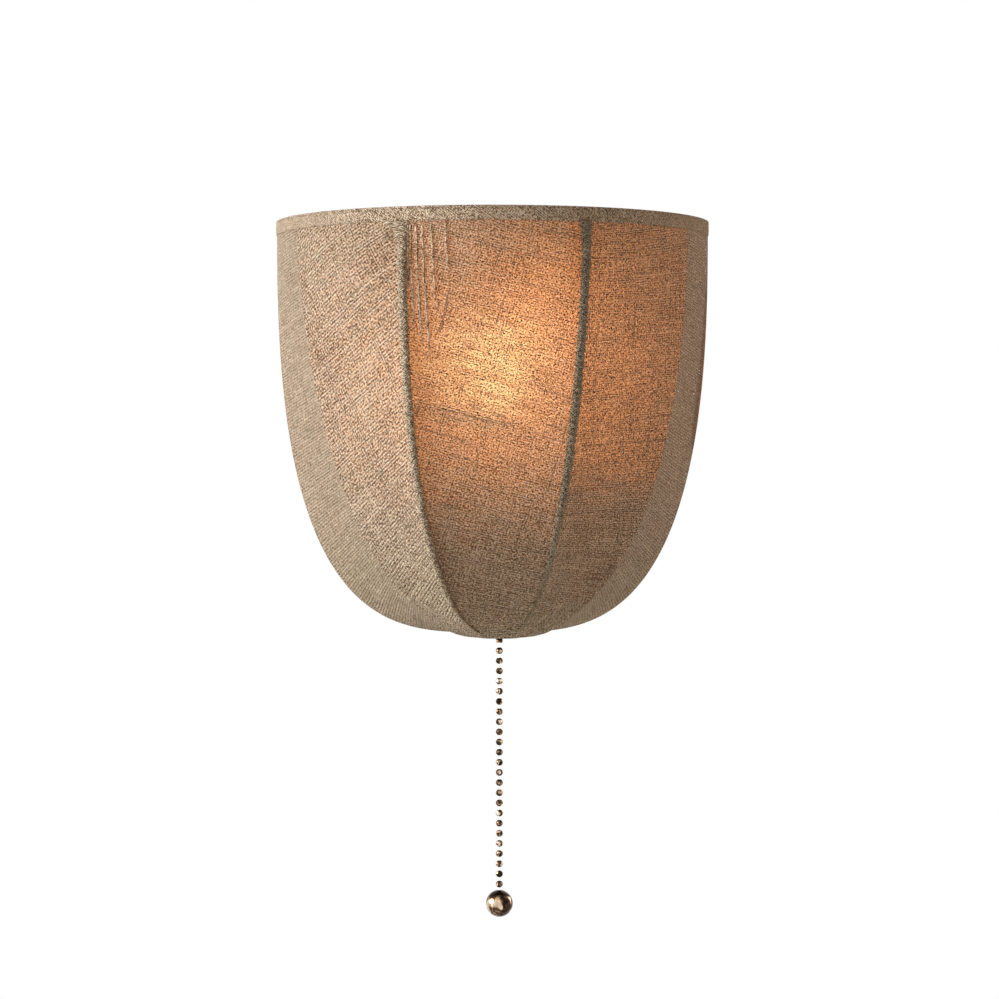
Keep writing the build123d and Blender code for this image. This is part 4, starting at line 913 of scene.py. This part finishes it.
PANELS = {
    "panel_left": {
        "ribs": ("far_left", "near_left"),
        "bias": radians(24),
        "fine": 0.88,
        "light": 0.55,
        "hollow": 0.5 * MM,
        "puckers": [(0.9, 0.03, 0.3 * MM, 0.10), (0.8, 0.03, -0.25 * MM, 0.07)],
    },
    "panel_centre": {
        "ribs": ("near_left", "near_right"),
        "bias": radians(-16),
        "fine": 0.66,
        "light": 1.0,
        "hollow": 0.6 * MM,
        "puckers": [
            (0.08, 0.018, 0.45 * MM, 0.14),
            (0.14, 0.016, 0.4 * MM, 0.16),
            (0.20, 0.018, 0.35 * MM, 0.12),
            (0.86, 0.03, 0.35 * MM, 0.09),
        ],
    },
    "panel_right": {
        "ribs": ("near_right", "far_right"),
        "bias": radians(9),
        "fine": 0.66,
        "light": 0.85,
        "hollow": 0.6 * MM,
        "puckers": [(0.12, 0.03, 0.3 * MM, 0.09), (0.7, 0.05, 0.2 * MM, 0.08)],
    },
    "panel_side_left": {
        "side": -1,
        "rib": "far_left",
        "bias": radians(6),
        "fine": 0.8,
        "light": 0.12,
        "hollow": 0.3 * MM,
    },
    "panel_side_right": {
        "side": 1,
        "rib": "far_right",
        "bias": radians(-6),
        "fine": 0.8,
        "light": 0.16,
        "hollow": 0.3 * MM,
    },
}


def rear_glow(points):
    """Light that the rear edge of the right side catches from the lamp."""
    from_edge = (points[..., 1] - points[..., 1].min()) - np.ptp(points[..., 1])
    low, high = REAR_GLOW_HEIGHTS
    height = np.clip((points[..., 2] - low) / REAR_GLOW_FADE, 0, 1)
    height = height * np.clip((high - points[..., 2]) / REAR_GLOW_FADE, 0, 1)
    return REAR_GLOW * np.exp(from_edge / REAR_GLOW_WIDTH) * height


def make_panel(number, name, facts, finishes, lining):
    """One panel of the shade, stretched between its ribs."""
    if "ribs" in facts:
        points = front_surface(*facts["ribs"], PANEL_ROWS, PANEL_COLUMNS)
        rests_on = ["rib_" + rib for rib in facts["ribs"]]
    else:
        points = side_surface(facts["side"], facts["rib"], PANEL_ROWS, SIDE_COLUMNS)
        rests_on = ["rear_hoop", "rib_" + facts["rib"]]
    points = drape(points, number + 1, facts["hollow"], facts.get("puckers", ()))
    light = np.full(points.shape[:2], facts["light"])
    if name == "panel_side_right":
        light += rear_glow(points)
    cloth = cloth_place(points, facts["bias"], light, facts["fine"])
    finish = finishes["linen"]
    piece = cloth_shell("cloth_" + name, points, cloth, PANEL_THICKNESS, finish, lining)
    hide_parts(name)
    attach(piece, "shade")
    return points.reshape(-1, 3)


def make_hem(finishes):
    """Band of cloth folded over the top ring, with a soft round top."""
    inner = FRAME_RADIUS + CLOTH_GAP
    outer = inner + FABRIC + CLOTH_GAP
    thick = HEM_THICKNESS
    low = RIM_Z - HEM_HEIGHT
    bend = HEM_BEND
    skim = FRAME_INSET + HEM_SKIM
    outside = [(skim + HEM_EDGE, low), (outer + thick, low + HEM_FLARE)]
    outside += [(outer + thick, RIM_Z - bend)]
    outside += fold_arc(outer + thick - bend, RIM_Z - bend, bend, 0, 90)
    outside += fold_arc(-inner - thick + bend, RIM_Z - bend, bend, 90, 180)
    outside += [(-inner - thick, RIM_Z - bend), (-inner - thick, low)]
    inside = [(-inner, low), (-inner, RIM_Z - thick), (outer, RIM_Z - thick), (skim, low)]
    profile = np.array(subdivide(outside, 0.8 * MM) + subdivide(inside, 1.5 * MM))
    points, out = ring_line(FRAME_INSET, HEM_STEPS)
    along = arc_length(points)
    sway = rough(np.stack([along, along * 0, along * 0], axis=1), 70.0, 3) * HEM_SWAY
    rings = []
    cloth = []
    around = arc_length(profile)
    for point, direction, place, wobble in zip(points, out, along, sway):
        near_end = min(1.0, min(place, along[-1] - place) / HEM_END)
        reach = np.minimum(profile[:, 0], skim + (outer + thick - skim) * (0.3 + 0.7 * near_end))
        lower = (RIM_Z - profile[:, 1]) / HEM_HEIGHT
        puff = wobble * 0.4 * np.sign(reach)
        ring = point + direction * (reach + puff * lower)[:, None]
        drop = HEM_END_DROP * (1 - near_end) ** 2
        ring[:, 2] = profile[:, 1] + wobble * lower**2 - drop * (1 - lower)
        rings.append(ring)
        across = place * cos(HEM_BIAS) - around * sin(HEM_BIAS)
        down = place * sin(HEM_BIAS) + around * cos(HEM_BIAS)
        cloth.append(np.stack([across, down, np.full_like(around, HEM_LIGHT)], axis=1))
    piece = tube("hem_band", np.array(rings), cloth, finishes["hem_fabric"])
    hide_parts("top_hem")
    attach(piece, "shade")


def fold_arc(x, z, radius, first, last, steps=4):
    """Points of an arc, between two angles in degrees."""
    turns = [radians(first + (last - first) * i / steps) for i in range(steps + 1)]
    return [(x + radius * cos(a), z + radius * sin(a)) for a in turns]


def subdivide(points, step):
    """Adds points to an outline, so that no side is longer than the step."""
    made = []
    for (x0, z0), (x1, z1) in zip(points[:-1], points[1:]):
        parts = max(1, int(hypot(x1 - x0, z1 - z0) / step))
        made += [(x0 + (x1 - x0) * i / parts, z0 + (z1 - z0) * i / parts) for i in range(parts)]
    return made + [points[-1]]


def make_cord(name, finish, gather, fade):
    """Twisted cord sewn along a near rib, gathered into the hem and flat at its foot."""
    x, power = RIBS[name]
    foot = rim_point(x)
    top = RIM_Z - HEM_HEIGHT - CLOTH_GAP
    turns = np.linspace(start_angle(power, RIM_Z - top), end_angle(foot) * 0.97, 1200)
    points = even_path(rib_curve(foot, power, turns, -PIPING_GAP), CORD_STEP)
    along = arc_length(points)
    run = np.array((foot - HUB).normalized())
    facing = np.array(Vector((foot.x / HALF_WIDTH**2, foot.y / DEPTH**2, 0)).normalized())
    share = np.clip(1 - along / (0.55 * along[-1]), 0, 1)[:, None]
    out, side = path_frames(points, facing * share + run * (1 - share))
    turn = ring_turns(28)
    length = along[-1]
    flare = 1 + gather * np.exp(-along / CORD_GATHER)
    taper = np.clip((fade * length - along) / (0.22 * length), 0, 1) ** 0.7
    lie = np.stack(np.broadcast_arrays(along[:, None], turn[None] * 2 * MM, 0.0), axis=-1)
    fluff = rough(lie, 1100.0, 5 + gather) * 0.30 + rough(lie, 350.0, 9 + gather) * 0.16
    rings = []
    cloth = []
    for i, point in enumerate(points):
        twist = along[i] * 2 * pi / CORD_TWIST
        ridge = 1 + 0.13 * np.cos(3 * (turn - twist)) + fluff[i]
        up = np.sin(turn)
        high = PIPING_HEIGHT * 1.05 * (0.05 + 0.95 * taper[i]) / flare[i] ** 0.7
        rise = np.where(up > 0, high, PIPING_HEIGHT * 0.16) * up * ridge
        one_side = np.where(np.cos(turn) > 0, flare[i], 1 + (flare[i] - 1) * 0.2)
        wide = np.cos(turn) * PIPING_WIDTH / 2 * 1.22 * ridge * one_side
        wide *= 0.35 + 0.65 * taper[i]
        rise = rise - wide**2 / CORD_CURL
        rings.append(point + out[i] * rise[:, None] + side[i] * wide[:, None])
        lean = turn * 1.2 * MM
        cloth.append(np.stack([along[i] * 0.7 + lean, along[i] - lean, lean * 0], axis=1))
    return tube("cord_" + name, np.array(rings), cloth, finish)


def make_binding(finishes):
    """Strip of cloth wound round the rear hoop's wire."""
    inset = FRAME_INSET
    top = RIM_Z - HEM_HEIGHT - CLOTH_GAP
    turns = even_steps(lambda a: hoop_curve(1, a, inset), 0.001, pi / 2, 900)
    right = hoop_curve(1, turns, inset)
    right = right[right[:, 2] < top]
    left = right[:-1] * np.array([-1, 1, 1])
    points = even_path(np.concatenate([left, right[::-1]]), BINDING_STEP)
    outward = points * (1, 0, 1) - (0, 0, BINDING_MIDDLE_Z)
    out, side = path_frames(points, outward)
    along = arc_length(points)[:, None]
    turn = ring_turns(18)
    lap = ((along / LAP_PITCH + turn / (2 * pi)) % 1.0) * LAP_EDGE
    rings = rings_round(points, out, side, FRAME_RADIUS + BINDING - CLOTH_GAP + lap, turn)
    girth = turn * (FRAME_RADIUS + BINDING) + along * 0
    cloth = np.stack([girth + along * 0.3, along - girth * 0.3, girth * 0], axis=-1)
    piece = tube("hoop_binding", rings, cloth, finishes["hem_fabric"])
    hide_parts("rear_binding")
    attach(piece, "shade")


def make_fabric(finishes):
    """All the cloth of the shade."""
    lining = linen_finish("linen_inside", inside=True)
    surface = [
        make_panel(number, name, facts, finishes, lining)
        for number, (name, facts) in enumerate(PANELS.items())
    ]
    make_hem(finishes)
    make_binding(finishes)
    make_cap(finishes["linen"], np.concatenate(surface))
    make_gathers(finishes["hem_fabric"])
    # Painted light and shade: the same cord, lighter on the left rib and darker on the right rib
    lit_cord = linen_finish("lit_cord", 1.0, 0.55, bold=True, tint_and_painted_shade=(0.98, 0.99, 0.96))
    shaded_cord = linen_finish("shaded_cord", 0.92, 0.55, bold=True, tint_and_painted_shade=(0.92, 0.97, 0.95))
    cords = (("near_left", lit_cord, 3.4, 0.93), ("near_right", shaded_cord, 0.8, 0.84))
    for name, finish, gather, fade in cords:
        piece = make_cord(name, finish, gather, fade)
        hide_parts("rib_piping")
        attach(piece, "shade")


def make_gathers(finish):
    """Light gathering threads below the hem, beside the left piping."""
    points = front_surface("near_left", "near_right", PANEL_ROWS, PANEL_COLUMNS)
    normals = surface_normals(points)
    turn = ring_turns(8)
    for number, (share, length) in enumerate(GATHERS):
        column = share * (PANEL_COLUMNS - 1)
        left, part = int(column), column % 1
        rows = slice(6, int(length * PANEL_ROWS))
        line = (points[:, left] * (1 - part) + points[:, left + 1] * part)[rows]
        out, side = path_frames(line, normals[rows, left])
        sway = rough(line, 300.0, number)[:, None] * GATHER_SWAY
        thin = GATHER_RADIUS * np.clip(np.linspace(1.0, -0.05, len(line)) * 4, 0.15, 1)
        middle = line + out * GATHER_LIFT + side * sway
        rings = rings_round(middle, out, side, thin[:, None], turn)
        piece = tube("gather_%d" % (number + 1), rings, rings, finish)
        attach(piece, "shade")


def make_cap(finish, surface):
    """Low round cap of cloth sewn over the eyelet's flange, with a hole for the chain."""
    low = frame["nodes"]["eyelet"].bound_box[0][2] - CAP_GAP
    near = surface[surface[:, 2] < RIM_Z - HEIGHT + CAP_CLOTH_HEIGHT]
    shares = np.concatenate([[0.083], np.linspace(0.12, 1.0, 22)])
    around = 96
    outer = []
    for turn in ring_turns(around):
        deep = CAP_FRONT if sin(turn) < 0 else CAP_BACK
        reach = 1 / hypot(cos(turn) / CAP_SIDE, sin(turn) / deep)
        line = []
        for u in shares:
            r = max(reach * u, CAP_HOLE)
            x, y = HUB.x + r * cos(turn), HUB.y + r * sin(turn)
            away = np.hypot(near[:, 0] - x, near[:, 1] - y)
            close = np.argsort(away)[:4]
            weight = 1 / (away[close] + 1e-5)
            level = float(np.sum(near[close, 2] * weight) / np.sum(weight))
            blend = min(1.0, max(0.0, (u - 0.34) / 0.66))
            blend = blend * blend * (3 - 2 * blend)
            drop = (1.15 + 1.7 * u) * (1 - blend) - 0.45 * blend
            above = level - drop * MM - low
            z = low + (above + hypot(above, CAP_SOFT)) / 2
            line.append((x, y, low if r < CAP_FLAT else z))
        outer.append(line)
    outer = np.array(outer)
    inner = outer + np.array((0, 0, CAP_THICKNESS))
    ring = np.concatenate([outer, inner[:, ::-1]], axis=1)
    count = ring.shape[1]
    faces = []
    for i in range(around):
        for j in range(count):
            k, n = (j + 1) % count, (i + 1) % around
            faces.append((i * count + j, n * count + j, n * count + k, i * count + k))
    piece = make_piece("bottom_cap", ring.reshape(-1, 3), faces, finish)
    flat = ring.reshape(-1, 3) / 0.66
    flat[:, 2] = 0.3
    add_cloth_map(piece, flat)
    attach(piece, "shade")


def make_spring(finishes, slot):
    """Return spring round the pull's stem, built at rest. The chain squeezes it when pulled."""
    corners = np.array(frame["nodes"]["return_spring"].bound_box)
    low, high = corners[:, 2].min(), corners[:, 2].max()
    middle = (corners.min(axis=0) + corners.max(axis=0)) / 2
    turns = np.linspace(0, SPRING_TURNS * 2 * pi, SPRING_TURNS * 36 + 1)
    radial = np.stack([np.cos(turns), np.sin(turns), turns * 0], axis=1)
    wire = SPRING_WIRE / 2
    points = middle + radial * SPRING_RADIUS
    points[:, 2] = np.linspace(low + wire, high - wire, len(turns))
    out, side = path_frames(points, radial)
    rings = rings_round(points, out, side, wire, ring_turns(12))
    piece = tube("coil_spring", rings, None, finishes[slot])
    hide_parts("return_spring")
    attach(piece, "root")
    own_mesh(piece)


def dress_frame(finishes):
    """Gives each hard piece of the light its finish."""
    slots = {row["node"]: row["material_slot"] for row in frame["record"]["subparts"]}
    make_spring(finishes, slots["return_spring"])
    for name, piece in frame["nodes"].items():
        finish = finishes[slots[name]]
        for spot in piece.material_slots:
            spot.link = "OBJECT"
            spot.material = finish


# ---------------------------------------------------------------- camera, lights and floor
def aim(lamp, target):
    """Turns a lamp to face a point."""
    way = Vector(target) - lamp.location
    lamp.rotation_euler = way.to_track_quat("-Z", "Y").to_euler()


def make_camera():
    """Level camera at the photograph's height and distance."""
    data = bpy.data.cameras.new("camera")
    data.lens = CAMERA_LENS
    data.sensor_width = CAMERA_SENSOR
    camera = bpy.data.objects.new("camera", data)
    camera.location = CAMERA_PLACE
    camera.rotation_euler = (radians(90), 0, 0)
    bpy.context.scene.collection.objects.link(camera)
    bpy.context.scene.camera = camera


def make_lamp(name, turn, rise, distance, size, power, colour):
    """Square soft lamp, turned this many degrees from straight ahead."""
    data = bpy.data.lights.new(name, "AREA")
    data.size = size
    data.energy = power
    data.color = colour
    lamp = bpy.data.objects.new(name, data)
    flat = cos(radians(rise)) * distance
    x = sin(radians(turn)) * flat
    y = -cos(radians(turn)) * flat
    lamp.location = (x, y, sin(radians(rise)) * distance)
    bpy.context.scene.collection.objects.link(lamp)
    aim(lamp, LAMP_TARGET)


def make_world():
    """Pale surroundings: white to the eye, in gloss and through glass, dim as a lamp."""
    world = bpy.data.worlds.new("studio")
    bpy.context.scene.world = world
    f = Finish("studio", world)
    dull = {"Color": opaque(SURROUND_COLOUR), "Strength": SURROUND_LEVEL}
    dim = f.node("ShaderNodeBackground", None, dull)
    white = f.node("ShaderNodeBackground", None, {"Color": opaque(WHITE)})
    seen = f.seen_by("Is Camera Ray", "Is Glossy Ray", "Is Transmission Ray")
    mixed = f.node("ShaderNodeMixShader", None, {0: seen, 1: dim, 2: white})
    f.node("ShaderNodeOutputWorld", None, {"Surface": mixed})


def make_floor():
    """Pale floor well below the light. It shows as white."""
    f = Finish("floor_white")
    shade = f.tint(FLOOR_COLOUR, f.noise(f.place(), 20.0) * 0.04 + 0.96)
    matt = f.node("ShaderNodeBsdfDiffuse", None, {"Color": shade})
    white = f.node("ShaderNodeEmission", None, {"Color": opaque(WHITE), "Strength": 1.0})
    seen = f.seen_by("Is Camera Ray", "Is Glossy Ray")
    mixed = f.node("ShaderNodeMixShader", None, {0: seen, 1: matt, 2: white})
    f.node("ShaderNodeOutputMaterial", None, {"Surface": mixed})
    signs = ((-1, -1), (1, -1), (1, 1), (-1, 1))
    corners = [(x * FLOOR_HALF, y * FLOOR_HALF, FLOOR_Z) for x, y in signs]
    floor = make_piece("floor", corners, [(0, 1, 2, 3)], f.material, smooth=False)


def make_studio():
    """Camera, lamps, surroundings and floor."""
    make_camera()
    make_world()
    make_floor()
    for name, facts in LAMPS.items():
        make_lamp(name, *facts)
    bpy.context.scene.view_settings.view_transform = "Standard"


finishes = make_finishes()
make_fabric(finishes)
dress_frame(finishes)
make_studio()
bpy.context.view_layer.update()
